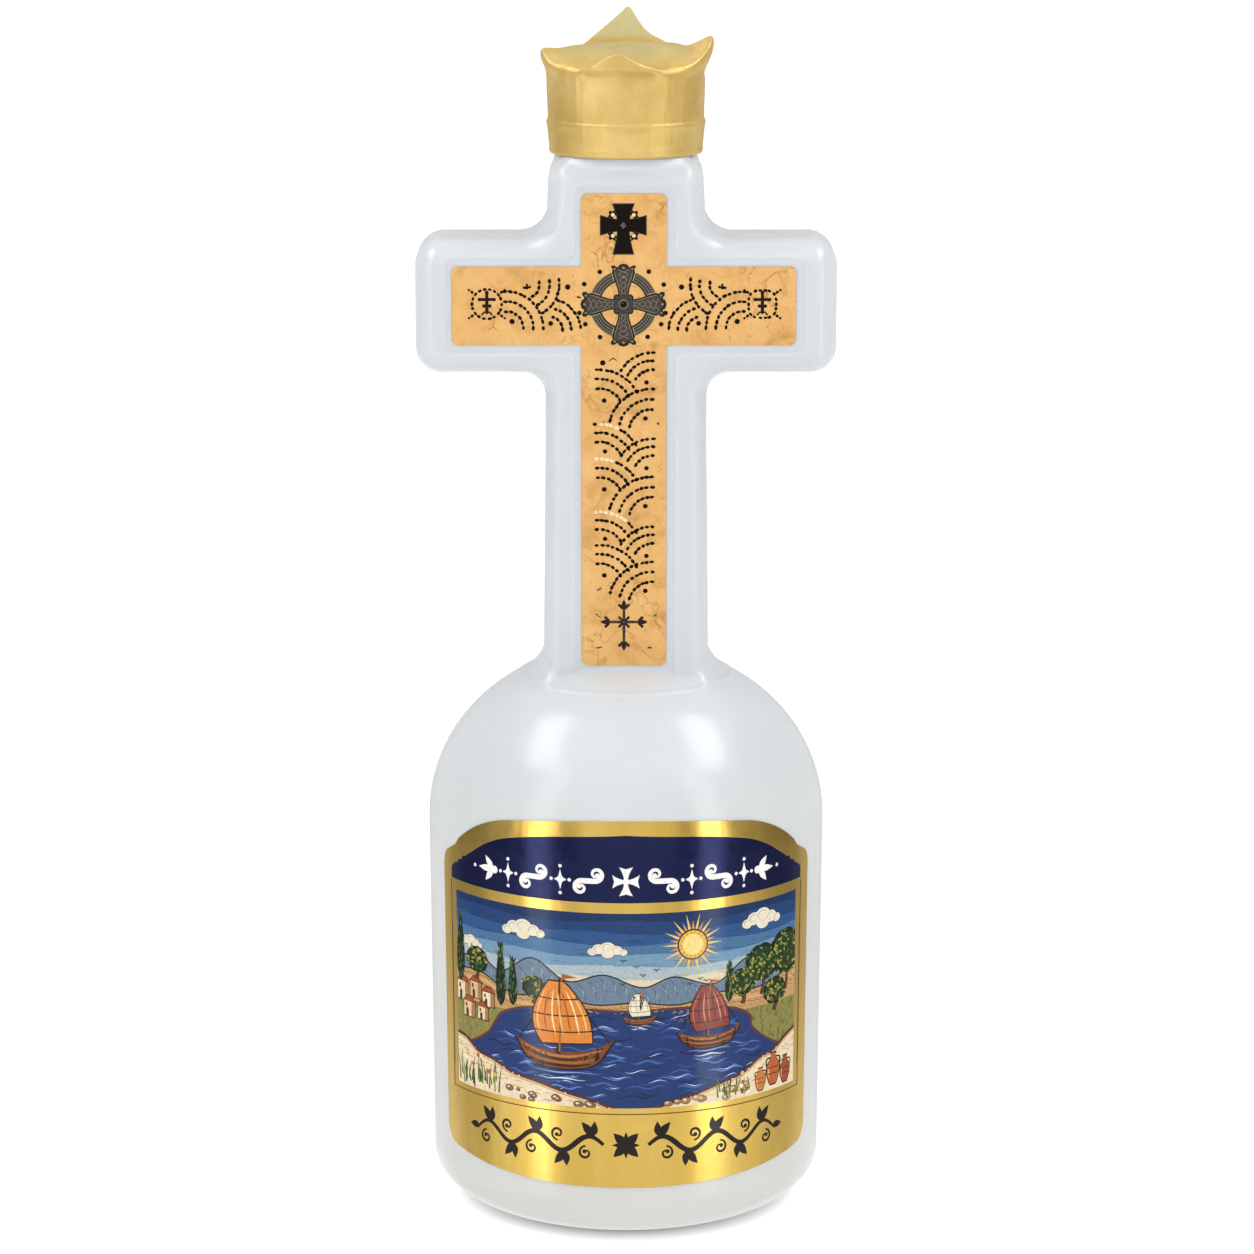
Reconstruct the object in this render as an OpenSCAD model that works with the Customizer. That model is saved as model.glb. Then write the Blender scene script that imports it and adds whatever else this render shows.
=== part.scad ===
// Holy water bottle: a hollow round bottle whose neck is a standing cross,
// closed by a crown-shaped screw cap, with a cross-shaped sticker on the cross
// and a foil label round the front of the body.
// Millimetres. The origin is the middle of the standing ring on the table,
// +Z is up, the front is -Y and the arms of the cross run along X.

/* [Body] */
// Outside diameter at the widest level, where the shoulder starts
body_d = 75.5; // [60:0.1:90]
// Outside diameter just above the rounded base corner
body_low_d = 74; // [60:0.1:90]
// Height of the widest level above the table
body_h = 74.3; // [55:0.1:95]
// Height of the rounded shoulder above the widest level
dome_h = 32.8; // [20:0.1:45]
// Fullness of the shoulder: 2 is a plain ellipse, more is squarer
dome_n = 2.08; // [2:0.02:2.4]
// Radius of the rounded corner at the base
base_corner_r = 10.5; // [5:0.5:14]
// Rise of the push-up in the middle of the base
push_h = 4; // [2:0.5:8]
// Radius where the push-up meets the flat standing ring
push_r = 22.5; // [18:0.5:25]
// Wall thickness of the blown bottle
wall = 1.2; // [0.8:0.1:2]
// Radius of the raised ring on the shoulder, round the foot of the cross
ring_r = 20.3; // [18:0.1:24]
// Section radius of that ring
ring_bead_r = 0.55; // [0.3:0.05:1]

/* [Cross] */
// Width of the upright of the cross
stem_w = 30.2; // [24:0.1:36]
// Depth of the cross from front to back
cross_depth = 25; // [18:0.5:30]
// Height of the top of the upright, under the cap
stem_top = 200.7; // [180:0.1:215]
// Whole width over both arms
arm_span = 78.4; // [60:0.1:90]
// Height of one arm
arm_h = 24.5; // [18:0.1:30]
// Height of the middle of the arms
arm_z = 173.5; // [150:0.1:190]
// Rounding of the long edges, front and back
edge_r = 3; // [1.5:0.5:5]
// Rounding of the corners seen from the front
corner_r = 5; // [3:0.5:8]
// Fillet in the four inner corners of the cross
fillet_r = 5; // [3:0.5:8]
// Depth of the sunk panel for the sticker
panel_depth = 0.4; // [0.3:0.1:0.8]
// Rim left free between the sticker and the edge of the panel
panel_rim = 1.5; // [0.8:0.1:2]

/* [Neck and thread] */
// Diameter of the open mouth
mouth_d = 18.4; // [16:0.1:19]
// Outside diameter of the neck between the threads
neck_d = 21.5; // [20.5:0.1:23]
// Diameter over the thread
thread_d = 23.7; // [22.5:0.1:24.5]
// Rise of the thread in one turn
thread_pitch = 3.175; // [2.8:0.005:4.3]
// Turns of thread
thread_turns = 1.5; // [1:0.1:2]
// Height of the rim of the mouth
lip_z = 213.4; // [208:0.1:216]

/* [Cap] */
// Radial and axial play between cap and neck
play = 0.3; // [0.2:0.05:0.5]
// Outside diameter of the inner screw cap without its ribs
insert_d = 26.6; // [26:0.1:27.4]
// Vertical ribs that hold the crown
insert_ribs = 16; // [8:2:24]
// Bore of the crown, pressed over the ribs
crown_bore_d = 27.7; // [27:0.1:28.4]
// Outside diameter of the crown at mid height
crown_d = 29.5; // [28.6:0.1:31]
// Height of the lower edge of the crown
crown_z = 201.3; // [200.9:0.1:203]
// Height of the low places between the points
valley_z = 216.7; // [215.5:0.1:219]
// Height of the domed top of the crown
crown_top_z = 221; // [218:0.1:224]
// Thickness of the crown over the inner cap
crown_wall = 0.9; // [0.6:0.1:1.2]
// Thickness of the sealing disc
liner_t = 0.9; // [0.6:0.1:1.5]

/* [Labels] */
// Thickness of both labels
label_t = 0.15; // [0.1:0.05:0.3]
// Width of the upright of the sticker
sticker_w = 15.8; // [12:0.1:20]
// Width of the sticker over its arms
sticker_span = 63.6; // [50:0.1:70]
// Height of the arms of the sticker
sticker_arm_h = 14.6; // [10:0.1:18]
// Lower end of the sticker
sticker_z0 = 106.3; // [106.2:0.1:115]
// Upper end of the sticker
sticker_z1 = 194.9; // [188:0.1:197]
// How far the sticker sits off the middle, to the right
sticker_dx = -0.35; // [-0.5:0.05:0.5]
// Half width of the body label, measured round the bottle
label_half = 42.4; // [30:0.1:50]
// Lowest point of the body label
label_z0 = 12; // [11:0.1:20]
// Highest point of the body label
label_z1 = 82.2; // [70:0.1:84]

/* [Hidden] */
$fn = 96;
big = 200;
R_top = body_d / 2;
R_low = body_low_d / 2;
ring_z = body_h + dome_h * pow(1 - pow(ring_r / R_top, dome_n), 1 / dome_n);
label_R = (R_top + R_low) / 2;
liner_gap = 0.05;
sticker_zc = arm_z + 0.5;
ceiling_z = lip_z + liner_t + 2 * liner_gap;
insert_top = ceiling_z + 1;
insert_z = crown_z + 0.5;
insert_bore_r = thread_d / 2 + play;
crest_in_r = neck_d / 2 + play;
thread_z = lip_z - 2.2 - thread_turns * thread_pitch;

// ---- plane curves ----
function arc(cx, cy, r, a0, a1, n) =
    [for (i = [0 : n]) let (a = a0 + (a1 - a0) * i / n) [cx + r * cos(a), cy + r * sin(a)]];
function rrect(w, h, r, n = 8) = concat(
    arc(w / 2 - r, -h / 2 + r, r, -90, 0, n), arc(w / 2 - r, h / 2 - r, r, 0, 90, n),
    arc(-w / 2 + r, h / 2 - r, r, 90, 180, n), arc(-w / 2 + r, -h / 2 + r, r, 180, 270, n));
// outside of the body from the base corner to the top of the shoulder, grown by g
function body_side(g) = concat(
    arc(R_low - base_corner_r, base_corner_r, base_corner_r + g, -90, 0, 10),
    [for (i = [0 : 22]) let (a = i * 3.5) [(R_top + g) * pow(cos(a), 2 / dome_n), body_h + (dome_h + g) * pow(sin(a), 2 / dome_n)]]);
// push-up of the base, from the middle out to the standing ring, lifted by g
function push_up(g) = [for (i = [0 : 8]) let (r = push_r * i / 8) [r, g + push_h * (1 - pow(r / push_r, 2))]];
function body_profile(g) = let (s = body_side(g)) concat(push_up(-g), s, [[0, s[len(s) - 1][1]]]);

// ---- straight bars along the three axes ----
module along_x(len) rotate([90, 0, 90]) linear_extrude(len, center = true) children();
module along_y(len) rotate([90, 0, 0]) linear_extrude(len, center = true) children();

// ---- a screw ridge; inward ridges have crest below root ----
module ridge(root, crest, w_root, w_crest, z0, turns) {
    seg = 30;
    n = round(seg * turns);
    bite = root < crest ? -0.35 : 0.35;
    rows = [for (i = [0 : n]) let (
        a = 360 * i / seg, z = z0 + thread_pitch * i / seg,
        s = max(0.12, min(1, i / 5, (n - i) / 5)),
        c = root + (crest - root) * s,
        sec = [[root + bite, z - w_root / 2], [c, z - w_crest / 2], [c, z + w_crest / 2], [root + bite, z + w_root / 2]],
        q = root < crest ? sec : [sec[3], sec[2], sec[1], sec[0]])
        each [for (p = q) [p[0] * cos(a), p[0] * sin(a), p[1]]]];
    faces = concat([[3, 2, 1, 0]], [[4 * n, 4 * n + 1, 4 * n + 2, 4 * n + 3]],
        [for (i = [0 : n - 1]) for (k = [0 : 3]) let (a = 4 * i + k, b = 4 * i + (k + 1) % 4) each
            [[a, b, b + 4], [a, b + 4, a + 4]]]);
    polyhedron(points = rows, faces = faces, convexity = 6);
}

// ---- cross ----
module stem_bar(w, d, r, z0, z1, top_r) {
    intersection() {
        translate([0, 0, z0]) linear_extrude(z1 - z0) polygon(rrect(w, d, r));
        along_y(big) translate([0, z1 - big]) polygon(concat([[-w / 2, 0], [w / 2, 0]],
            arc(w / 2 - top_r, big - top_r, top_r, 0, 90, 8), arc(-w / 2 + top_r, big - top_r, top_r, 90, 180, 8)));
        along_x(big) translate([0, z1 - big]) polygon(concat([[-d / 2, 0], [d / 2, 0]],
            arc(d / 2 - top_r, big - top_r, top_r, 0, 90, 8), arc(-d / 2 + top_r, big - top_r, top_r, 90, 180, 8)));
    }
}
module arm_bar(w, d, h, r, rc) {
    translate([0, 0, arm_z]) intersection() {
        along_x(w) polygon(rrect(d, h, r));
        along_y(big) polygon(rrect(w, h, rc));
    }
}
module inner_fillets() {
    for (sx = [-1, 1]) for (sz = [-1, 1])
        translate([0, 0, arm_z]) mirror([sx < 0 ? 1 : 0, 0, 0]) mirror([0, 0, sz < 0 ? 1 : 0])
            along_y(cross_depth - 2 * edge_r) polygon(concat(
                [[stem_w / 2 - 1, arm_h / 2 - 1], [stem_w / 2 + fillet_r, arm_h / 2 - 1]],
                arc(stem_w / 2 + fillet_r, arm_h / 2 + fillet_r, fillet_r, 270, 180, 8),
                [[stem_w / 2 - 1, arm_h / 2 + fillet_r]]));
}
function cross_outline(w, span, h, z0, z1, zc, r) = concat(
    arc(w / 2 - r, z0 + r, r, -90, 0, 4),
    [[w / 2, zc - h / 2]], arc(span / 2 - r, zc - h / 2 + r, r, -90, 0, 4),
    arc(span / 2 - r, zc + h / 2 - r, r, 0, 90, 4), [[w / 2, zc + h / 2]],
    arc(w / 2 - r, z1 - r, r, 0, 90, 4), arc(-w / 2 + r, z1 - r, r, 90, 180, 4),
    [[-w / 2, zc + h / 2]], arc(-span / 2 + r, zc + h / 2 - r, r, 90, 180, 4),
    arc(-span / 2 + r, zc - h / 2 + r, r, 180, 270, 4), [[-w / 2, zc - h / 2]],
    arc(-w / 2 + r, z0 + r, r, 180, 270, 4));

module bottle_shell() {
    color([0.87, 0.89, 0.91]) union() {
        difference() {
            union() {
                rotate_extrude() polygon(body_profile(0));
                rotate_extrude() translate([ring_r, ring_z]) circle(ring_bead_r);
                difference() {
                    union() {
                        stem_bar(stem_w, cross_depth, edge_r, 92, stem_top, 4);
                        arm_bar(arm_span, cross_depth, arm_h, edge_r, corner_r);
                        inner_fillets();
                    }
                    // sunk panel for the sticker
                    translate([0, -cross_depth / 2, 0]) along_y(2 * panel_depth)
                        polygon(cross_outline(sticker_w + 2 * panel_rim, sticker_span + 2 * panel_rim, sticker_arm_h + 2 * panel_rim, 80, sticker_z1 + panel_rim, sticker_zc, 2));
                }
                translate([0, 0, stem_top - 3]) cylinder(h = lip_z - stem_top + 3, d = neck_d);
            }
            rotate_extrude() polygon(body_profile(-wall));
            stem_bar(stem_w - 2 * wall, cross_depth - 2 * wall, edge_r - wall, 90, stem_top - wall, 3);
            arm_bar(arm_span - 2 * wall, cross_depth - 2 * wall, arm_h - 2 * wall, edge_r - wall, corner_r - wall);
            translate([0, 0, stem_top - 8]) cylinder(h = lip_z - stem_top + 10, d = mouth_d);
        }
        ridge(neck_d / 2, thread_d / 2, 1.9, 1, thread_z, thread_turns);
    }
}

module cross_label() {
    color([0.925, 0.735, 0.44])
        translate([sticker_dx, -cross_depth / 2 + panel_depth - label_t / 2, 0]) along_y(label_t)
            polygon(cross_outline(sticker_w, sticker_span, sticker_arm_h, sticker_z0, sticker_z1, sticker_zc, 1.1));
}

// ---- body label ----
function wrap_x(s) = label_R * sin(s / label_R * 180 / PI);
label_edge = concat(
    [for (i = [0 : 12]) let (s = -36.8 + 73.6 * i / 12) [s, label_z0 + 2.3 * pow(abs(s) / 36.8, 2.4)]],
    arc(label_half - 4.2, label_z0 + 6.6, 4.2, -62, 0, 5),
    [[label_half, 69.2]], arc(label_half - 3.2, 69.4, 3.2, 20, 75, 4), [[37.7, 73.7]],
    [for (i = [0 : 18]) let (s = 36.6 - 73.2 * i / 18) [s, label_z1 - 1.9 * pow(abs(s) / 27, 2) - 3.7 * pow(max(0, abs(s) - 24) / 12.6, 2)]],
    [[-37.7, 73.7]], arc(-label_half + 3.2, 69.4, 3.2, 105, 160, 4), [[-label_half, 69.2]],
    arc(-label_half + 4.2, label_z0 + 6.6, 4.2, 180, 242, 5));
module body_label() {
    color([0.80, 0.63, 0.25]) intersection() {
        rotate_extrude() polygon(concat(body_side(label_t), [for (i = [32 : -1 : 0]) body_side(0)[i]]));
        translate([0, -big / 2, 0]) along_y(big) polygon([for (p = label_edge) [wrap_x(p[0]), p[1]]]);
    }
}

// ---- cap ----
module cap_liner() {
    color([0.94, 0.94, 0.91]) translate([0, 0, lip_z + liner_gap])
        cylinder(h = liner_t, r = insert_bore_r - 0.3);
}

module inner_cap() {
    color([0.93, 0.92, 0.88]) union() {
        difference() {
            union() {
                translate([0, 0, insert_z]) cylinder(h = insert_top - insert_z, d = insert_d);
                for (i = [0 : insert_ribs - 1]) rotate(i * 360 / insert_ribs)
                    translate([insert_d / 2 - 0.6, -0.5, insert_z + 0.6])
                        cube([crown_bore_d / 2 - insert_d / 2 + 0.65, 1, insert_top - insert_z - 1.6]);
            }
            translate([0, 0, insert_z - 1]) cylinder(h = ceiling_z - insert_z + 1, r = insert_bore_r);
        }
        ridge(insert_bore_r, crest_in_r, 1.1, 0.55, thread_z - thread_pitch / 2, thread_turns);
    }
}

// points of the crown: angle from the front toward +X, height over the valleys,
// half width on the -, half width on the +, flare of the tip, shape power
points = [[-4.5, 3.9, 36, 36, 0.7, 1.5], [88, 5.9, 57, 56, 1.6, 1.7],
          [178, 10.1, 62, 62, 1.2, 1.25], [-88, 3.6, 56, 49, 1.0, 1.5]];
function wrap180(a) = a - 360 * floor((a + 180) / 360);
function share(p, a) = let (d = wrap180(a - p[0]), t = sqrt(pow(d / (d < 0 ? p[2] : p[3]), 2) + 0.0016) - 0.04)
    pow(max(0, 1 - t), p[5]);
function rise(a) = max([for (p = points) p[1] * share(p, a)]);
function flare(a) = max([for (p = points) p[4] * share(p, a)]);
function skirt_r(z) = crown_d / 2 + lookup(z, [[crown_z, -0.45], [crown_z + 0.8, -0.1], [crown_z + 3, 0], [crown_z + 5.4, 0.1], [crown_z + 6.4, -0.05], [crown_z + 12, 0], [crown_z + 16, 0.1]]);
module crown_cover() {
    na = 72;
    levels = [0, 0.8, 3, 5.4, 6.4, 9, 12];
    lean = [0.35, 0.7, 1];
    inward = [0.93, 0.82, 0.68, 0.52, 0.36, 0.2];
    nr = len(levels) + len(lean) + len(inward);
    function rim_r(a) = skirt_r(valley_z) + flare(a);
    function cover(u, a) = valley_z + (crown_top_z - valley_z) * (1 - pow(u, 2.5)) + rise(a) * pow(max(0, (u - 0.45) / 0.55), 2);
    outer = concat(
        [for (l = levels) for (j = [0 : na - 1]) let (a = 360 * j / na, r = skirt_r(crown_z + l)) [r * sin(a), -r * cos(a), crown_z + l]],
        [for (q = lean) for (j = [0 : na - 1]) let (a = 360 * j / na, zt = valley_z + rise(a), z = crown_z + 12 + (zt - crown_z - 12) * q,
            r = skirt_r(crown_z + 12) + (rim_r(a) - skirt_r(crown_z + 12)) * q * q) [r * sin(a), -r * cos(a), z]],
        [for (u = inward) for (j = [0 : na - 1]) let (a = 360 * j / na, r = rim_r(a) * u) [r * sin(a), -r * cos(a), cover(u, a)]],
        [[0, 0, crown_top_z], [0, 0, crown_z]]);
    hollow_u = [1, 0.85, 0.68, 0.5, 0.32];
    hr = crown_bore_d / 2 - 0.6;
    hollow = concat(
        [for (j = [0 : na - 1]) let (a = 360 * j / na) [hr * sin(a), -hr * cos(a), insert_top - 1]],
        [for (u = hollow_u) for (j = [0 : na - 1]) let (a = 360 * j / na, r = hr * u) [r * sin(a), -r * cos(a), cover(u * hr / rim_r(a), a) - crown_wall * 1.1]],
        [[0, 0, crown_top_z - crown_wall], [0, 0, insert_top - 1]]);
    function skin(n) = concat(
        [for (i = [0 : n - 2]) for (j = [0 : na - 1]) let (a = i * na + j, b = i * na + (j + 1) % na) each
            [[a, a + na, b + na], [a, b + na, b]]],
        [for (j = [0 : na - 1]) [(n - 1) * na + j, n * na, (n - 1) * na + (j + 1) % na]],
        [for (j = [0 : na - 1]) [j, (j + 1) % na, n * na + 1]]);
    color([0.85, 0.71, 0.38]) difference() {
        polyhedron(points = outer, faces = skin(nr), convexity = 8);
        translate([0, 0, crown_z - 1]) cylinder(h = insert_top + 0.1 - crown_z + 1, d = crown_bore_d);
        polyhedron(points = hollow, faces = skin(1 + len(hollow_u)), convexity = 8);
    }
}

bottle_shell();
cross_label();
body_label();
cap_liner();
inner_cap();
crown_cover();
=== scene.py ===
"""Looks of the holy water bottle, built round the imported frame.

Shapes are worked out in millimetres in the part's own frame (+Z up, front towards -Y)
and written in metres. Every printed shape is thin geometry, and every finish is made of nodes.
"""

import math

import bmesh
import bpy
import numpy as np
from mathutils import Matrix, Vector


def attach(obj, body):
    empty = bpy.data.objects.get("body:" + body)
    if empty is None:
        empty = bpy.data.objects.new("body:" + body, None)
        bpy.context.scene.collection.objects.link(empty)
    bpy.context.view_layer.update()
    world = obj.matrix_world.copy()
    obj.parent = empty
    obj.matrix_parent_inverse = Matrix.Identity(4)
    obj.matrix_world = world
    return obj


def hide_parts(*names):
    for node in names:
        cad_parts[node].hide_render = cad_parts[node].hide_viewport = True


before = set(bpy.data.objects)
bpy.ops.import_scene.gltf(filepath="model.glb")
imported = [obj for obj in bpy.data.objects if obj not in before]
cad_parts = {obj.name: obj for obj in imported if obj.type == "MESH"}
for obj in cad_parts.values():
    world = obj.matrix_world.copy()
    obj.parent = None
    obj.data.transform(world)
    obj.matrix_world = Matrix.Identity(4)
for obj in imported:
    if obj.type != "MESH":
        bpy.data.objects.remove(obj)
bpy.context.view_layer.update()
scene = bpy.context.scene
MM = 0.001


# ---------------------------------------------------------------- mesh helpers
def add_piece(name, verts, faces, material, body, replaces=(), normals=None):
    """One piece from points in millimetres; normals, where given, are per point."""
    me = bpy.data.meshes.new(name)
    me.from_pydata((np.asarray(verts, float) * MM).tolist(), [], faces)
    me.materials.append(material)
    me.polygons.foreach_set("use_smooth", [True] * len(me.polygons))
    me.update()
    if normals is not None:
        me.normals_split_custom_set_from_vertices(np.asarray(normals, float).tolist())
    obj = bpy.data.objects.new(name, me)
    scene.collection.objects.link(obj)
    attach(obj, body)
    if replaces:
        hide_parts(*replaces)
    return obj


def steps(*spans):
    """Grid levels from (start, stop, step) spans that follow each other."""
    out = []
    for a, b, d in spans:
        n = max(1, int(round((b - a) / d)))
        out.extend((a + (b - a) * np.arange(n) / n).tolist())
    out.append(spans[-1][1])
    return np.array(out)


def smoothstep(a, b, x):
    t = np.clip((x - a) / (b - a), 0, 1)
    return t * t * (3 - 2 * t)


def round_union(a, b, r):
    """Union of two distance fields with a fillet of radius r."""
    u, v = np.maximum(r - a, 0), np.maximum(r - b, 0)
    return np.maximum(r, np.minimum(a, b)) - np.sqrt(u * u + v * v)


def round_meet(a, b, r):
    """Intersection of two distance fields with an edge rounded to radius r."""
    u, v = np.maximum(r + a, 0), np.maximum(r + b, 0)
    return np.minimum(-r, np.maximum(a, b)) + np.sqrt(u * u + v * v)


def rounded_box(x, z, hx, hz, r):
    qx, qz = np.abs(x) - hx + r, np.abs(z) - hz + r
    return np.minimum(np.maximum(qx, qz), 0) + np.hypot(np.maximum(qx, 0), np.maximum(qz, 0)) - r


def surface_net(field, xs, ys, zs):
    """Quads round the zero level of a field sampled on a grid of uneven steps."""
    s = field < 0
    nx, ny, nz = field.shape
    count = np.zeros((nx - 1, ny - 1, nz - 1), np.int8)
    for i in (0, 1):
        for j in (0, 1):
            for k in (0, 1):
                count += s[i : nx - 1 + i, j : ny - 1 + j, k : nz - 1 + k]
    ci, cj, ck = np.nonzero((count > 0) & (count < 8))
    index = -np.ones(count.shape, np.int64)
    index[ci, cj, ck] = np.arange(len(ci))
    total, hits = np.zeros((len(ci), 3)), np.zeros(len(ci))
    corner = [(i, j, k) for i in (0, 1) for j in (0, 1) for k in (0, 1)]
    for p in corner:
        for axis in range(3):
            if p[axis]:
                continue
            q = list(p)
            q[axis] = 1
            a = field[ci + p[0], cj + p[1], ck + p[2]]
            b = field[ci + q[0], cj + q[1], ck + q[2]]
            cut = (a < 0) != (b < 0)
            t = np.where(cut, a / np.where(cut, a - b, 1), 0)
            pa = np.stack([xs[ci + p[0]], ys[cj + p[1]], zs[ck + p[2]]], 1)
            pb = np.stack([xs[ci + q[0]], ys[cj + q[1]], zs[ck + q[2]]], 1)
            total += np.where(cut[:, None], pa + (pb - pa) * t[:, None], 0)
            hits += cut
    quads = []
    i, j, k = np.nonzero(s[:-1, 1:-1, 1:-1] != s[1:, 1:-1, 1:-1])
    f = np.stack([index[i, j, k], index[i, j + 1, k], index[i, j + 1, k + 1], index[i, j, k + 1]], 1)
    quads.append(np.where(s[i, j + 1, k + 1][:, None], f, f[:, ::-1]))
    i, j, k = np.nonzero(s[1:-1, :-1, 1:-1] != s[1:-1, 1:, 1:-1])
    f = np.stack([index[i + 1, j, k], index[i, j, k], index[i, j, k + 1], index[i + 1, j, k + 1]], 1)
    quads.append(np.where(s[i + 1, j, k + 1][:, None], f, f[:, ::-1]))
    i, j, k = np.nonzero(s[1:-1, 1:-1, :-1] != s[1:-1, 1:-1, 1:])
    f = np.stack([index[i, j, k], index[i + 1, j, k], index[i + 1, j + 1, k], index[i, j + 1, k]], 1)
    quads.append(np.where(s[i + 1, j + 1, k][:, None], f, f[:, ::-1]))
    return total / hits[:, None], np.concatenate(quads)


def gradient(fn, p, eps=0.01):
    g = np.zeros_like(p)
    for axis in range(3):
        d = np.zeros(3)
        d[axis] = eps
        g[:, axis] = (fn(*(p + d).T) - fn(*(p - d).T)) / (2 * eps)
    return g


def zip_rings(upper, lower, pts, outward):
    """Triangles between two rings of points of different counts, both ordered by angle."""
    ang = lambda ids: np.arctan2(pts[ids, 1], pts[ids, 0])
    upper = upper[np.argsort(ang(upper))]
    lower = lower[np.argsort(ang(lower))]
    au, al = ang(upper), ang(lower)
    i = j = 0
    faces = []
    while i < len(upper) or j < len(lower):
        nu = au[i + 1] if i + 1 < len(upper) else au[(i + 1) % len(upper)] + 2 * math.pi
        nl = al[j + 1] if j + 1 < len(lower) else al[(j + 1) % len(lower)] + 2 * math.pi
        a, b = upper[i % len(upper)], lower[j % len(lower)]
        if j >= len(lower) or (i < len(upper) and nu <= nl):
            tri = (a, b, upper[(i + 1) % len(upper)])
            i += 1
        else:
            tri = (a, b, lower[(j + 1) % len(lower)])
            j += 1
        faces.append(tuple(int(v) for v in (tri if outward else tri[::-1])))
    return faces


# ---------------------------------------------------------------- bottle shape
R_TOP, R_LOW, Z_EQ, DOME, DOME_N, WALL = 37.66, 37.0, 74.3, 32.8, 2.08, 1.2
BASE_R, BASE_W, PUSH_R, PUSH_H = 9.3, 13.8, 21.6, 4.0  # base corner: height and width
Z_CUT = 99.5  # below this level the bottle is a plain turned form
STEM, DEPTH, STEM_TOP = 15.02, 12.5, 200.7
EDGE_X, EDGE_Y = 4.2, 6.0  # edges are rounder towards the sides than across the front
ARM_HALF, ARM_H, ARM_Z = 39.12, 12.5, 173.5
LIP_Z, NECK_R, MOUTH_R, THREAD_H, PITCH = 213.4, 10.75, 9.2, 1.1, 3.175
PANEL = 0.30  # depth of the sunk panel


def dome_field(x, y, z, grow=0.0):
    a, c = R_TOP + grow, DOME + grow
    h, rho = z - Z_EQ, np.hypot(x, y)
    n, h = DOME_N, np.abs(h)
    k = np.maximum((rho / a) ** n + (h / c) ** n, 1e-9) ** (1 / n)
    slope = k ** (1 - n) * np.hypot(rho ** (n - 1) / a**n, h ** (n - 1) / c**n)
    return (k - 1) / np.maximum(slope, 1e-6)


def dome_radius(z, grow=0.0):
    """Radius of the shoulder at a level above the widest one."""
    up = np.clip((z - Z_EQ) / (DOME + grow), 0, 0.999)
    return (R_TOP + grow) * (1 - up**DOME_N) ** (1 / DOME_N)


def dome_normal(r, z, grow=0.0):
    nr = np.asarray(r, float) ** (DOME_N - 1) / (R_TOP + grow) ** DOME_N
    nz = np.maximum(z - Z_EQ, 0) ** (DOME_N - 1) / (DOME + grow) ** DOME_N
    k = np.hypot(nr, nz)
    return nr / k, nz / k


def panel_field(x, z):
    """Outline of the sunk panel."""
    stem = round_meet(np.abs(x + 0.2) - 9.5, z - 196.2, 2.2)
    arms = rounded_box(x + 0.2, z - 174.05, 33.5, 8.8, 2.2)
    return round_union(stem, arms, 1.2)


def cross_field(x, y, z):
    half = STEM - 0.048 * np.maximum(0, z - 183.5) + 0.0115 * np.maximum(0, 148 - z)
    stem = round_meet(np.abs(x) - half, z - STEM_TOP, 3.6)
    arms = rounded_box(x, z - ARM_Z, ARM_HALF, ARM_H, 5.0)
    flat = round_union(stem, arms, np.where(z > ARM_Z, 5.2, 4.3))
    sunk = PANEL * smoothstep(0.4, -0.4, panel_field(x, z))
    deep = np.abs(y) - DEPTH + np.where(y < 0, sunk, 0)
    low = smoothstep(160.0, 152.0, z)  # tighter edges down the upright
    ex, ey = EDGE_X - 0.9 * low, EDGE_Y - 0.8 * low
    a, b = np.maximum(flat / ex + 1, 0), np.maximum(deep / ey + 1, 0)
    k = np.maximum(np.hypot(a, b), 1e-6)
    slope = np.sqrt((a / ex) ** 2 + (b / ey) ** 2) / k
    return np.where(k > 1e-5, (k - 1) / np.maximum(slope, 0.05), np.maximum(flat, deep))


def thread_height(x, y, z):
    """How far the screw ridge stands out of the neck."""
    turn = np.arctan2(y, x) / (2 * np.pi)
    z0 = LIP_Z - 2.2 - 1.5 * PITCH
    t = (z - z0) / PITCH - turn
    k = np.round(t)
    along = np.clip(k + turn, 0, 1.5)
    d = np.abs(z - z0 - PITCH * along)
    near = np.abs(along - (k + turn)) * 2 * np.pi * NECK_R
    fade = np.clip(np.minimum(along, 1.5 - along) * 6, 0.0, 1)
    return THREAD_H * (1 - smoothstep(0.45, 0.98, d)) * fade * (near < 0.01)


def outer_field(x, y, z):
    rho = np.hypot(x, y)
    fillet = np.where(y < 0, 0.9 + 2.5 * smoothstep(11.5, 15.2, np.abs(x)), 3.4)
    shape = round_union(cross_field(x, y, z), dome_field(x, y, z), fillet)
    shape = shape - 0.17 * np.exp(-(((rho - 20.3) / 0.5) ** 2)) * (z < 105)
    collar = round_meet(rho - 13.2, np.abs(z - 200.4) - 0.86, 0.2)  # round seat right under the cap
    shape = round_union(shape, collar, 3.0 - 1.6 * smoothstep(0.7, 0.95, np.abs(x) / np.maximum(rho, 1.0)))
    shape = shape - 0.025 * np.exp(-((y / 0.32) ** 2))
    neck = rho - NECK_R - thread_height(x, y, z)
    neck = round_meet(neck, z - LIP_Z, 0.35)
    neck = np.maximum(neck, 195 - z)
    return round_union(shape, neck, 0.9)


def inner_field(x, y, z):
    body = round_union(cross_field(x, y, z) + WALL, dome_field(x, y, z, -WALL), 3.0)
    bore = np.maximum(np.hypot(x, y) - MOUTH_R, 190 - z)
    return np.minimum(body, bore)


def shell_field(x, y, z):
    return np.maximum(outer_field(x, y, z), -inner_field(x, y, z))


def turned(rows, angles):
    r, z = rows[:, 0][:, None], rows[:, 1][:, None]
    return np.stack(
        [r * np.cos(angles)[None], r * np.sin(angles)[None], z + 0 * angles[None]], 2
    ).reshape(-1, 3)


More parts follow.
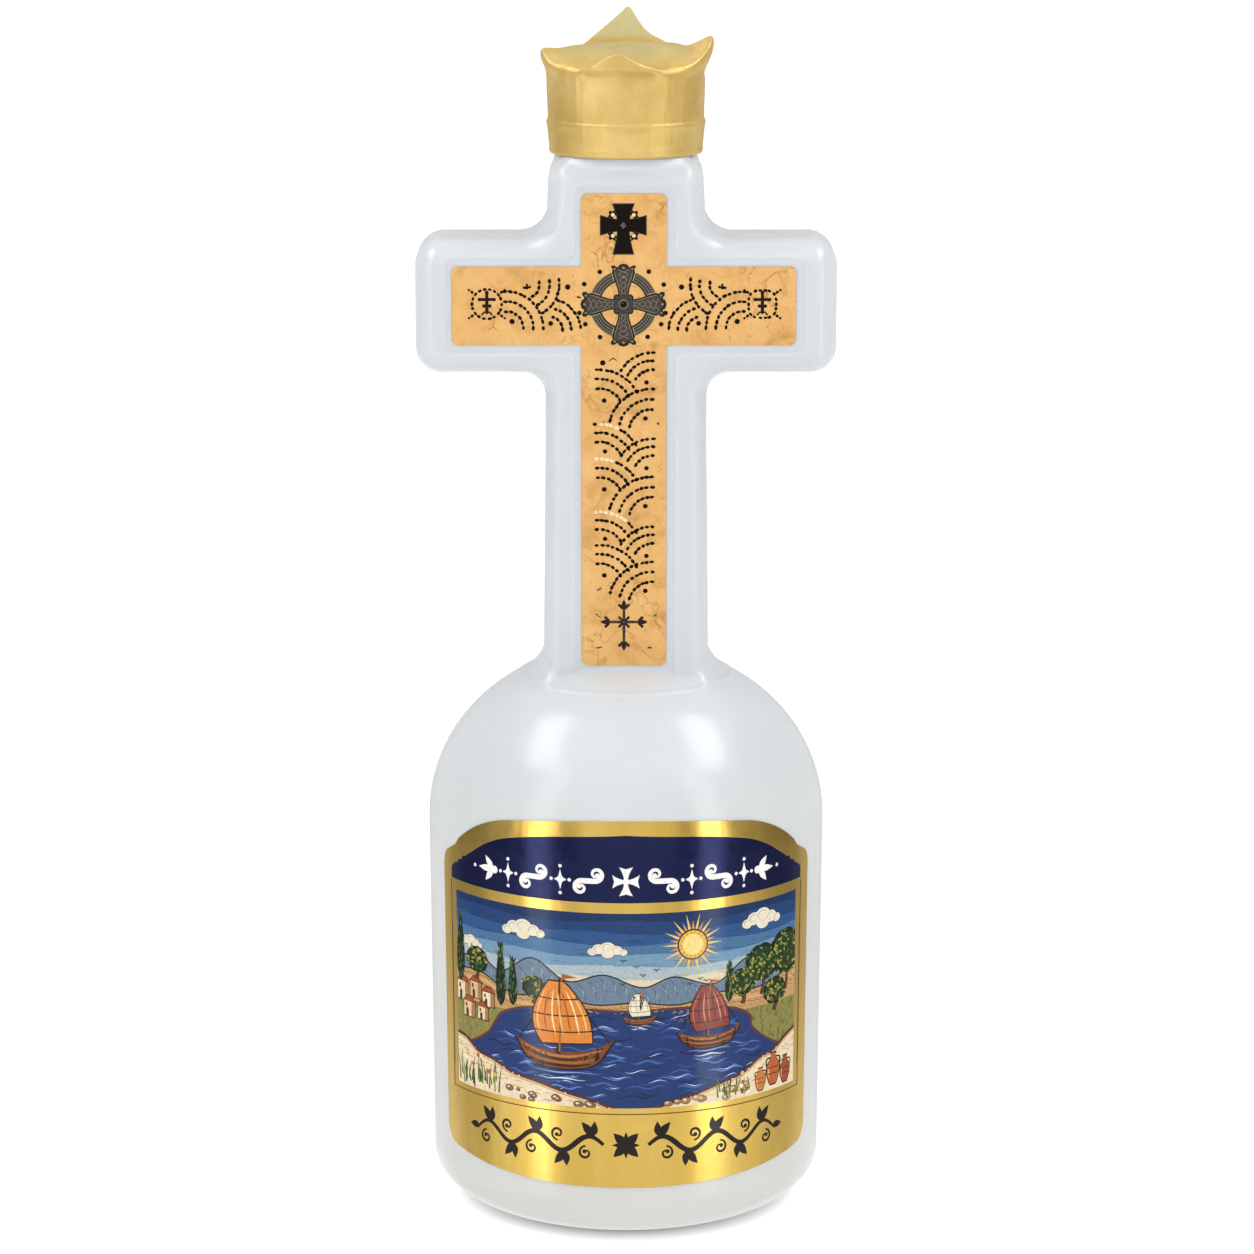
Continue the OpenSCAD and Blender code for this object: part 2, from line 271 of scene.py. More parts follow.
def row_normals(rows):
    t = np.gradient(rows, axis=0)
    n = np.stack([-t[:, 1], t[:, 0]], 1)
    return n / np.linalg.norm(n, axis=1)[:, None]


def body_rows(grow, parts):
    """(radius, level) from the cut on the shoulder down the side to the middle of the base."""
    n_dome, n_side, n_corner, n_push = parts
    a, c = R_TOP + grow, DOME + grow
    top, n = math.asin(((Z_CUT - Z_EQ) / c) ** (DOME_N / 2)), 2 / DOME_N
    rows = [(a * math.cos(t) ** n, Z_EQ + c * math.sin(t) ** n) for t in np.linspace(top, 0, n_dome)]
    low = R_LOW + grow
    rows += [(a + (low - a) * t, Z_EQ + (BASE_R - Z_EQ) * t) for t in np.linspace(0, 1, n_side)[1:]]
    rows += [(R_LOW - BASE_W + (BASE_W + grow) * math.cos(t), BASE_R - (BASE_R + grow) * math.sin(t)) for t in np.linspace(0, math.pi / 2, n_corner)[1:]]
    rows += [(PUSH_R + 1.3, -grow), (PUSH_R + 0.5, 0.02 - grow)]
    rows += [(PUSH_R * u, -grow + PUSH_H * (1 - u * u)) for u in np.linspace(0.97, 0.05, n_push)]
    return np.array(rows)


def bottle_mesh():
    xs = steps((0, 8.7, 0.73), (8.7, 9.9, 0.2), (9.9, 16, 0.4), (16, 24.8, 0.5), (24.8, 32.6, 0.8), (32.6, 34.2, 0.23), (34.2, 40.6, 0.4))
    xs = np.concatenate([-xs[:0:-1], xs])
    ys = steps((0, 0.3, 0.3), (0.3, 8.7, 0.84), (8.7, 13.2, 0.34), (13.2, 25.6, 0.48))
    ys = np.concatenate([-ys[:0:-1], ys])
    zs = steps(
        (Z_CUT, 108, 0.36), (108, 113, 0.5), (113, 156, 1.1), (156, 164.6, 0.43), (164.6, 166, 0.2), (166, 181.8, 1.0),
        (181.8, 183.2, 0.2), (183.2, 195.2, 0.44), (195.2, 196.8, 0.2), (196.8, 203.4, 0.44), (203.4, 214.6, 0.36),
    )
    grid = np.meshgrid(xs, ys, zs, indexing="ij")
    field = shell_field(*grid)
    pts, quads = surface_net(field, xs, ys, zs)
    # open edge at the cut: two rings, moved exactly onto the turned form
    e = np.sort(np.concatenate([quads[:, [0, 1]], quads[:, [1, 2]], quads[:, [2, 3]], quads[:, [3, 0]]]), 1)
    e, n = np.unique(e, axis=0, return_counts=True)
    rim = np.unique(e[n == 1])
    free = np.ones(len(pts), bool)
    free[rim] = False
    for _ in range(5):
        p = pts[free]
        g = gradient(shell_field, p)
        f = shell_field(*p.T)
        step = f[:, None] * g / np.maximum((g * g).sum(1), 0.25)[:, None]
        pts[free] = p - np.clip(step, -0.3, 0.3)
    rho = np.hypot(pts[rim, 0], pts[rim, 1])
    r_out, r_in = float(dome_radius(Z_CUT)), float(dome_radius(Z_CUT, -WALL))
    is_out = rho > (r_out + r_in) / 2
    want = np.where(is_out, r_out, r_in)
    pts[rim, :2] *= (want / rho)[:, None]
    pts[rim, 2] = Z_CUT
    norm = gradient(shell_field, pts, 0.03)
    norm /= np.maximum(np.linalg.norm(norm, axis=1), 1e-9)[:, None]
    for ids, r, grow, sign in ((rim[is_out], r_out, 0.0, 1), (rim[~is_out], r_in, -WALL, -1)):
        nr, nz = dome_normal(r, Z_CUT, grow)
        norm[ids] = sign * np.stack([pts[ids, 0] / r * nr, pts[ids, 1] / r * nr, np.full(len(ids), nz)], 1)
    verts, normals, faces = [pts], [norm], [tuple(q) for q in quads.tolist()]
    total = len(pts)
    for grow, parts, count, outward, loop in (
        (0.0, (26, 30, 14, 12), 208, True, rim[is_out]),
        (-WALL, (14, 14, 8, 7), 120, False, rim[~is_out]),
    ):
        base = np.arange(count) * 2 * math.pi / count
        seam = np.radians([-0.55, 0.55, 179.45, -179.45]) if outward else np.array([])
        angles = np.sort(np.concatenate([np.where(base > math.pi, base - 2 * math.pi, base), seam]))
        count = len(angles)
        rows = body_rows(grow, parts)[1:]
        ring = turned(rows, angles)
        nr = row_normals(rows)
        if outward:  # fine parting line of the mould on both sides
            lift = 0.03 * (np.exp(-((np.sin(angles) * 37) / 0.3) ** 2))
            fade = smoothstep(3.0, 8.0, rows[:, 1])
            scale = (fade[:, None] * lift[None]).reshape(-1)
            rad = np.hypot(ring[:, 0], ring[:, 1])
            ring[:, :2] *= (1 + scale / np.maximum(rad, 1))[:, None]
        n3 = np.stack([nr[:, 0][:, None] * np.cos(angles)[None], nr[:, 0][:, None] * np.sin(angles)[None],
                       nr[:, 1][:, None] + 0 * angles[None]], 2).reshape(-1, 3)
        if n3[count * 20 % len(n3), :2] @ ring[count * 20 % len(n3), :2] < 0:
            n3 = -n3
        if not outward:
            n3 = -n3
        ids = total + np.arange(len(ring)).reshape(len(rows), count)
        pole = total + len(ring)
        verts += [ring, [[0, 0, -grow + PUSH_H]]]
        normals += [n3, [[0, 0, -1 if outward else 1]]]
        total = pole + 1
        nxt = np.roll(ids, -1, 1)
        q = np.stack([ids[:-1], ids[1:], nxt[1:], nxt[:-1]], 2).reshape(-1, 4)
        tri = np.stack([ids[-1], np.full(count, pole), nxt[-1]], 1)
        if not outward:
            q, tri = q[:, ::-1], tri[:, ::-1]
        faces += [tuple(f) for f in q.tolist()] + [tuple(f) for f in tri.tolist()]
        both = np.concatenate([np.asarray(v, float) for v in verts])
        faces += zip_rings(loop, ids[0], both, outward)
    return np.concatenate([np.asarray(v, float) for v in verts]), faces, np.concatenate([np.asarray(v, float) for v in normals])


# ---------------------------------------------------------------- crown shape
CROWN_Z, VALLEY_Z, CROWN_TOP, CROWN_R, CROWN_BORE = 201.3, 216.7, 221.0, 14.75, 13.87
# the rim all round: angle from the front towards +X, height over the valleys, lean outwards
RIM = (
    (-176, 9.2, 0.6), (-165, 6.9, 0.5), (-150, 3.9, 0.3), (-137, 2.0, 0.2), (-124, 0.6, 0.1), (-112, 1.0, 0.25), (-100, 2.5, 0.55),
    (-88, 3.85, 0.85), (-77, 2.8, 0.65), (-66, 1.6, 0.35), (-54, 0.6, 0.1), (-43, 0.15, 0.0), (-37, 0.25, 0.0), (-31, 0.9, 0.05), (-24, 1.65, 0.1),
    (-18.4, 2.6, 0.15), (-10.5, 3.65, 0.25), (-6.2, 4.1, 0.3), (-1.2, 3.5, 0.25), (3.7, 2.75, 0.2), (11, 2.0, 0.1), (20, 1.3, 0.05), (28, 0.5, 0.0), (36, 0.15, 0.0),
    (43.5, 0.5, 0.1), (52, 1.3, 0.3), (61, 2.4, 0.6), (70, 3.7, 0.85), (79, 5.0, 1.05), (88, 6.2, 1.2), (97, 4.8, 0.95), (106, 2.8, 0.5),
    (116, 1.1, 0.2), (128, 1.2, 0.15), (143, 3.0, 0.25), (153, 4.3, 0.35), (160, 5.0, 0.4), (167, 6.2, 0.5), (173.5, 8.7, 0.6), (178.2, 10.9, 0.7),
)
# shape behind the rim: angle, slope of the point's inner face, fullness of the top, softness of the fold
FOLD = (
    (-178, 5.0, 9, 0.3), (-150, 5.0, 8, 0.4), (-124, 1.5, 4, 0.9), (-88, 0.15, 6, 1.1), (-66, 0.4, 4.8, 1.35), (-54, 0.4, 4.2, 1.4), (-42, 0.5, 3.2, 1.2),
    (-27, 1.2, 3, 1.05), (-6, 1.5, 3, 0.95), (7, 1.2, 3, 1.1), (20, 0.9, 3, 1.2), (36, 0.5, 3.2, 1.4), (52, 0.4, 4, 1.45),
    (70, 0.6, 5, 1.25), (88, 0.55, 6, 1.15), (106, 0.6, 5, 1.1), (124, 1.5, 4, 0.9), (150, 5.0, 8, 0.4), (178, 5.0, 9, 0.3),
)


def round_rim(a, table, column):
    """Value from the table at each angle, with its corners a little rounded."""
    t = np.array([k[0] for k in table], float)
    v = np.array([k[column] for k in table])
    t, v = np.concatenate([t - 360, t, t + 360]), np.tile(v, 3)
    fine = np.arange(-540, 540, 0.25)
    y = np.interp(fine, t, v)
    w = np.exp(-((np.arange(-36, 37) * 0.25 / 2.5) ** 2))
    y = np.convolve(y, w / w.sum(), "same")
    return np.interp((a + 180) % 360 - 180, fine, y)


def soft_wave(a, z, seed):
    """Slow uneven swell of thin plastic, in -1..1."""
    rng = np.random.default_rng(seed)
    out = 0
    for _ in range(7):
        n, m, ph, pz = rng.integers(2, 9), rng.uniform(0.05, 0.45), rng.uniform(0, 6.28), rng.uniform(0, 6.28)
        out = out + np.sin(np.radians(a) * n + ph) * np.sin(z * m + pz)
    return out / 3.0


def crown_skirt(z):
    levels = CROWN_Z + np.array([0, 0.3, 0.65, 1.2, 2.4, 4.0, 4.7, 5.2, 5.65, 5.85, 6.1, 6.4, 6.7, 9.6, 13.3, 16])
    offs = [-0.66, -0.48, -0.42, -0.48, -0.35, -0.22, -0.14, -0.03, 0.06, 0.05, -0.05, -0.22, -0.27, -0.18, -0.03, 0.03]
    return CROWN_R + np.interp(z, levels, offs)


def crown_line(rim_r, rim_z, slope, power, soft):
    """(radius, level) from the middle of the top over the fold and down the skirt, in even steps; s is 0 at the rim."""
    u = np.linspace(0.0, 1.0, 150)
    pillow = VALLEY_Z + (CROWN_TOP + 0.1 - VALLEY_Z) * (1 - u**power)
    fin = rim_z - slope * (1 - u) * rim_r
    top = 0.5 * (pillow + fin + np.sqrt((pillow - fin) ** 2 + 0.35))
    top = top + (rim_z - top[-1]) * u**10
    low = CROWN_Z + 9.0
    q = np.linspace(1, 0, 80)[1:]
    z = low + (rim_z - low) * q
    lift = smoothstep(0.0, 0.72, (z - VALLEY_Z + 0.8) / max(rim_z - VALLEY_Z + 0.8, 1.0))  # the points lean out above the valleys only
    r = crown_skirt(np.minimum(z, VALLEY_Z)) + (rim_r - crown_skirt(VALLEY_Z)) * np.maximum(lift, q**9)
    p = np.concatenate([np.stack([rim_r * u, top], 1), np.stack([r, z], 1)])
    s = np.concatenate([[0], np.cumsum(np.hypot(*np.diff(p, axis=0).T))])
    s -= s[149]
    even = np.arange(math.ceil(s[0] / 0.1), math.floor(s[-1] / 0.1) + 1) * 0.1
    line = np.stack([np.interp(even, s, p[:, 0]), np.interp(even, s, p[:, 1])], 1)
    k = int(3 * soft / 0.1)
    w = np.exp(-0.5 * (np.arange(-k, k + 1) * 0.1 / soft) ** 2)
    w /= w.sum()
    padded = np.concatenate([line[k:0:-1] * [-1, 1], line, 2 * line[-1] - line[-2 : -k - 2 : -1]])
    blur = np.stack([np.convolve(padded[:, j], w, "valid") for j in (0, 1)], 1)
    share = np.exp(-((even / 4.5) ** 2))[:, None]
    return even, line + share * (blur - line)


def crown_mesh():
    n = 320
    a = np.arange(n) * 360.0 / n
    want_z = VALLEY_Z + round_rim(a, RIM, 1)
    want_r = crown_skirt(VALLEY_Z) + round_rim(a, RIM, 2)
    fold = [round_rim(a, FOLD, j) for j in (1, 2, 3)]
    low = CROWN_Z + 9.0
    columns = []
    for j in range(n):
        r, z = want_r[j], want_z[j]
        for _ in range(3):  # the fold takes some height off a point: start that much further out
            even, line = crown_line(r, z, fold[0][j], fold[1][j], fold[2][j])
            at = line[np.argmin(np.abs(even))]
            r, z = r + 0.8 * (want_r[j] - at[0]), z + 0.8 * (want_z[j] - at[1])
        s = np.concatenate([
            even[0] + (-3.2 - even[0]) * np.linspace(0.05, 1, 17)[:-1], np.arange(-16, 21) * 0.2,
            4.0 + (even[-1] - 4.0) * np.linspace(0, 1, 9)[1:],
        ])
        columns.append(np.stack([np.interp(s, even, line[:, 0]), np.interp(s, even, line[:, 1])], 1))
    body = np.stack(columns, 1)  # row, column, (r, z)
    edge = 32
    skirt = [np.stack([crown_skirt(z) + 0 * a, z + 0 * a], 1) for z in np.concatenate([np.linspace(low - 0.3, CROWN_Z + 0.9, 56), [CROWN_Z + 0.6, CROWN_Z + 0.35, CROWN_Z + 0.15]])]
    body = np.concatenate([body, np.stack(skirt)])
    r, z = body[:, :, 0], body[:, :, 1]
    wall = smoothstep(edge - 1, edge + 6, np.arange(len(body)))[:, None]
    aa = a[None] + 0 * r
    near = lambda at, width: np.exp(-((((aa - at + 180) % 360 - 180) / width) ** 2))
    r = r + wall * 0.07 * soft_wave(aa, z, 5) * smoothstep(CROWN_Z, CROWN_Z + 3, z)
    for at, width, high in ((-38, 2.4, 0.09), (30.5, 2.4, 0.09), (141, 3, 0.08), (-143, 3, 0.08)):  # creases under the valleys
        r = r + wall * high * near(at, width) * smoothstep(207.5, 212, z)
    for at, high in ((-33, 0.05), (-13.5, 0.045), (10.5, 0.045), (28, 0.04), (-60, 0.04), (57, 0.04)):  # faint upright lines
        r = r + wall * high * near(at, 1.3) * smoothstep(202, 205, z) * (1 - smoothstep(211, 214, z))
    rib = np.cos(np.radians(aa * 16 - 40))
    r = r + wall * 0.012 * np.maximum(0, rib) ** 6 * smoothstep(202.5, 204, z) * (1 - smoothstep(212, 215, z))
    under = smoothstep(-36, -22, aa - 360 * (aa > 180)) * smoothstep(24, 10, aa - 360 * (aa > 180))  # fold under the front point
    r = r + wall * under * (0.34 * np.exp(-(((z - 217.7) / 1.0) ** 2)) - 0.34 * np.exp(-(((z - 216.15) / 0.55) ** 2)) + 0.10 * np.exp(-(((z - 215.1) / 0.6) ** 2)))
    r = r - wall * 0.28 * near(86, 20) * np.exp(-(((z - 216.2) / 0.8) ** 2))  # pinch under the tall point
    r = r - (1 - wall) * 0.10 * near(-178.6, 1.5) * smoothstep(220, 221.5, z)  # line up the thin back point
    x, y = r * np.sin(np.radians(aa)), -r * np.cos(np.radians(aa))
    skin = (1 - wall) * smoothstep(1.0, 5.0, r)
    z = z + skin * 0.12 * soft_wave(aa, r * 1.3, 9)
    for bx, by, size, high in ((1.4, -10.9, 1.1, 0.5), (-7.3, -8.2, 1.2, 0.22), (8.2, -9.2, 1.2, 0.22), (-11.3, -3.0, 1.1, 0.25), (9.2, 3.0, 3.2, 0.55), (-2.5, -8.0, 2.2, -0.2), (4.5, -7.0, 2.0, -0.15)):
        z = z + skin * high * np.exp(-((x - bx) ** 2 + (y - by) ** 2) / size**2)
    rows = [np.stack([r[i], z[i]], 1) for i in range(len(r))]
    bottom = CROWN_R - 0.66
    rows.append(np.stack([bottom + 0 * a, CROWN_Z + 0 * a], 1))
    rows.append(np.stack([CROWN_BORE + 0.08 + 0 * a, CROWN_Z + 0 * a], 1))
    for zz in (CROWN_Z + 0.1, CROWN_Z + 4, CROWN_Z + 9, 215.2, 215.55):
        rows.append(np.stack([CROWN_BORE + 0 * a, zz + 0 * a], 1))
    for u in (0.9, 0.7, 0.45, 0.2):
        rows.append(np.stack([CROWN_BORE * u + 0 * a, 215.55 + 0 * a], 1))
    rows = np.stack(rows)
    rad = np.radians(a)[None]
    pts = np.stack([rows[:, :, 0] * np.sin(rad), -rows[:, :, 0] * np.cos(rad), rows[:, :, 1]], 2).reshape(-1, 3)
    ids = np.arange(len(pts)).reshape(len(rows), n)
    nxt = np.roll(ids, -1, 1)
    q = np.stack([ids[:-1], ids[1:], nxt[1:], nxt[:-1]], 2).reshape(-1, 4)
    top, mid = len(pts), len(pts) + 1
    pts = np.concatenate([pts, [[0, 0, rows[0, :, 1].mean()], [0, 0, 215.55]]])
    faces = [tuple(f) for f in q.tolist()]
    faces += [(top, int(ids[0, j]), int(nxt[0, j])) for j in range(n)]
    faces += [(int(ids[-1, j]), mid, int(nxt[-1, j])) for j in range(n)]
    return pts, faces


# ---------------------------------------------------------------- printed shapes
def rgb(code):
    """Linear colour of a two-digit hex code."""
    v = np.array([int(code[i : i + 2], 16) / 255 for i in (1, 3, 5)])
    return tuple(np.where(v <= 0.04045, v / 12.92, ((v + 0.055) / 1.055) ** 2.4).tolist())


def curve(points, n=10):
    """Smooth line through points."""
    p = np.asarray(points, float)
    p = np.concatenate([[2 * p[0] - p[1]], p, [2 * p[-1] - p[-2]]])
    t = np.linspace(0, 1, n, endpoint=False)[:, None]
    out = []
    for a, b, c, d in zip(p, p[1:], p[2:], p[3:]):
        out.append(0.5 * (2 * b + (c - a) * t + (2 * a - 5 * b + 4 * c - d) * t**2 + (3 * b - a - 3 * c + d) * t**3))
    return np.concatenate([*out, p[-2:-1]])


def arc(cx, cz, r, a0, a1, n=16, rz=None):
    a = np.radians(np.linspace(a0, a1, n))
    return np.stack([cx + r * np.cos(a), cz + (r if rz is None else rz) * np.sin(a)], 1)


def turn(points, deg, at=(0, 0), scale=1.0, flip=False):
    p = np.asarray(points, float) * scale
    if flip:
        p = p * [-1, 1]
    c, s = math.cos(math.radians(deg)), math.sin(math.radians(deg))
    return p @ np.array([[c, s], [-s, c]]) + np.asarray(at, float)


def clip_box(p, box):
    """The part of an outline inside (x0, z0, x1, z1)."""
    p = [tuple(q) for q in p]
    for axis, limit, sign in ((0, box[0], 1), (1, box[1], 1), (0, box[2], -1), (1, box[3], -1)):
        out = []
        for a, b in zip(p, p[1:] + p[:1]):
            da, db = sign * (a[axis] - limit), sign * (b[axis] - limit)
            if da >= 0:
                out.append(a)
            if da * db < 0:
                t = da / (da - db)
                out.append((a[0] + (b[0] - a[0]) * t, a[1] + (b[1] - a[1]) * t))
        p = out
        if len(p) < 3:
            return np.zeros((0, 2))
    return np.array(p)


class Ink:
    """Flat printed shapes in millimetres, each with a colour and a level in the print."""

    def __init__(self, box=None):
        self.items, self.box = [], box

    def poly(self, pts, col, level):
        p = np.asarray(pts, float)
        if self.box:
            p = clip_box(p, self.box)
        if len(p) < 3:
            return
        p = p[np.linalg.norm(p - np.roll(p, 1, 0), axis=1) > 1e-4]
        if len(p) < 3:
            return
        x, z = p[:, 0], p[:, 1]
        area = 0.5 * np.sum(x * np.roll(z, -1) - np.roll(x, -1) * z)
        if abs(area) < 1e-4:
            return
        self.items.append((p if area > 0 else p[::-1], col, level))

    def disc(self, x, z, r, col, level, rz=None, n=14, tilt=0):
        self.poly(turn(arc(0, 0, r, 0, 360 - 360 / n, n, rz), tilt, (x, z)), col, level)

    def stroke(self, pts, width, col, level, taper=None):
        """A line of that width; taper gives its width as a share from end to end."""
        p = np.asarray(pts, float)
        t = np.gradient(p, axis=0)
        t /= np.maximum(np.linalg.norm(t, axis=1), 1e-9)[:, None]
        n = np.stack([-t[:, 1], t[:, 0]], 1)
        w = np.full(len(p), float(width))
        if taper is not None:
            w = w * np.interp(np.linspace(0, 1, len(p)), np.linspace(0, 1, len(taper)), taper)
        off = n * w[:, None] / 2
        self.poly(np.concatenate([p - off, (p + off)[::-1]]), col, level)

    def ring(self, x, z, r0, r1, col, level, a0=0, a1=360, n=40):
        if a1 - a0 > 200:
            mid = (a0 + a1) / 2
            self.ring(x, z, r0, r1, col, level, a0, mid, n // 2)
            self.ring(x, z, r0, r1, col, level, mid, a1, n // 2)
            return
        self.poly(np.concatenate([arc(x, z, r1, a0, a1, n), arc(x, z, r0, a1, a0, n)]), col, level)

    def leaf(self, x, z, length, width, deg, col, level, bend=0.0):
        t = np.linspace(0, 1, 9)
        h = width / 2 * np.sin(np.pi * t**0.8)
        mid = bend * np.sin(np.pi * t)
        p = np.concatenate([np.stack([t * length, mid - h], 1), np.stack([t * length, mid + h], 1)[-2:0:-1]])
        self.poly(turn(p, deg, (x, z)), col, level)


def print_mesh(name, items, place, low, first, step, material, cuts_x=(), cuts_z=(), smooth=True):
    """Thin closed prints: place(x, z, h) puts a flat point at height h over the carrier's face."""
    bm = bmesh.new()
    tag = bm.faces.layers.int.new("item")
    for k, (p, _, _) in enumerate(items):
        f = bm.faces.new([bm.verts.new((q[0], 0, q[1])) for q in p])
        f[tag] = k
    for axis, cuts in ((0, cuts_x), (2, cuts_z)):
        for c in cuts:
            co, no = [0, 0, 0], [0, 0, 0]
            co[axis], no[axis] = c, 1
            bmesh.ops.bisect_plane(bm, geom=bm.verts[:] + bm.edges[:] + bm.faces[:], dist=1e-6, plane_co=co, plane_no=no)
    bm.verts.index_update()
    n = len(bm.verts)
    flat = np.array([(v.co.x, v.co.z) for v in bm.verts])
    level = np.zeros(n)
    faces, cols = [], []
    for f in bm.faces:
        _, col, lv = items[f[tag]]
        ids = [v.index for v in f.verts]
        level[ids] = lv
        faces += [ids, [i + n for i in reversed(ids)]]
        cols += [col] * (2 * len(ids))
        for loop in f.loops:
            if len(loop.edge.link_faces) == 1:
                a, b = loop.vert.index, loop.link_loop_next.vert.index
                faces.append([a, a + n, b + n, b])
                cols += [col] * 4
    bm.free()
    top, normal = place(flat[:, 0], flat[:, 1], first + step * level)
    under, _ = place(flat[:, 0], flat[:, 1], np.full(n, low))
    obj = add_piece(name, np.concatenate([top, under]), faces, material[0], material[1], normals=np.concatenate([normal, normal]) if smooth else None)
    if not smooth:
        obj.data.polygons.foreach_set("use_smooth", [False] * len(obj.data.polygons))
    paint = obj.data.color_attributes.new("ink", "FLOAT_COLOR", "CORNER")
    paint.data.foreach_set("color", np.array([(*c, 1.0) for c in cols], np.float32).ravel())
    return obj


LABEL_R, LABEL_T, STICKER_T = 37.33, 0.15, 0.15


def on_sticker(x, z, h):
    return np.stack([x, PANEL - DEPTH - STICKER_T - h, z], 1), np.tile([0.0, -1.0, 0.0], (len(x), 1))


def on_body(s, z, h):
    """Point round the front of the body at height h over the plastic."""
    a = s / LABEL_R
    r = np.where(z > Z_EQ, dome_radius(z), R_LOW + (R_TOP - R_LOW) * (z - BASE_R) / (Z_EQ - BASE_R))
    nr, nz = dome_normal(r, z)
    rr = r + h * nr
    pts = np.stack([rr * np.sin(a), -rr * np.cos(a), z + h * nz], 1)
    return pts, np.stack([nr * np.sin(a), -nr * np.cos(a), nz - 0.05 * smoothstep(19.5, 14.5, z)], 1)  # the lowest strip turns down a little


def sticker_outline():
    w, span, h, z0, z1, zc, r = 7.87, 31.76, 7.28, 106.3, 194.8, 174.07, 1.1
    p = [arc(w - r, z0 + r, r, -90, 0, 6), [[w, zc - h]], arc(span - r, zc - h + r, r, -90, 0, 6),
         arc(span - r, zc + h - r, r, 0, 90, 6), [[w, zc + h]], arc(w - r, z1 - r, r, 0, 90, 6)]
    right = np.concatenate(p)
    return np.concatenate([right, right[::-1] * [-1, 1]]) + [-0.38, 0]


def label_outline():
    s = np.linspace(-36.8, 36.8, 61)
    low = np.stack([s, 12 + 2.3 * (np.abs(s) / 36.8) ** 2.4], 1)
    s = np.linspace(36.6, -36.6, 81)
    top = np.stack([s, 82.2 - 1.9 * (np.abs(s) / 27) ** 2 - 3.7 * (np.maximum(0, np.abs(s) - 24) / 12.6) ** 2], 1)
    right = np.concatenate([arc(38.2, 18.6, 4.2, -62, 0, 10), [[42.4, 69.2]], arc(39.2, 69.4, 3.2, 20, 75, 8), [[37.7, 73.7]]])
    left = right[::-1] * [-1, 1]
    return np.concatenate([low, right, top, left])


# ---- ornaments of the cross sticker ----
BLACK, SOOT, PALE = rgb("#120d0a"), rgb("#241a13"), rgb("#f3dcb2")


def dashes(ink, cx, cz, r, a0, a1, rng, pale=(), pitch=0.96, col=BLACK, size=1.0):
    """A row of uneven beads along an arc; angles run from straight up towards +X."""
    n = max(2, int(round(abs(math.radians(a1 - a0)) * r / pitch)) + 1)
    for i, a in enumerate(np.linspace(a0, a1, n)):
        a = a + rng.uniform(-1.2, 1.2)
        rr = r + rng.uniform(-0.05, 0.05)
        x, z = cx + rr * math.sin(math.radians(a)), cz + rr * math.cos(math.radians(a))
        long, wide = size * rng.uniform(0.38, 0.53), size * rng.uniform(0.27, 0.35)
        tone = PALE if pale and min(pale) <= a <= max(pale) else col
        ink.disc(x, z, long, tone, 1, wide, 9, -a + rng.uniform(-9, 9))


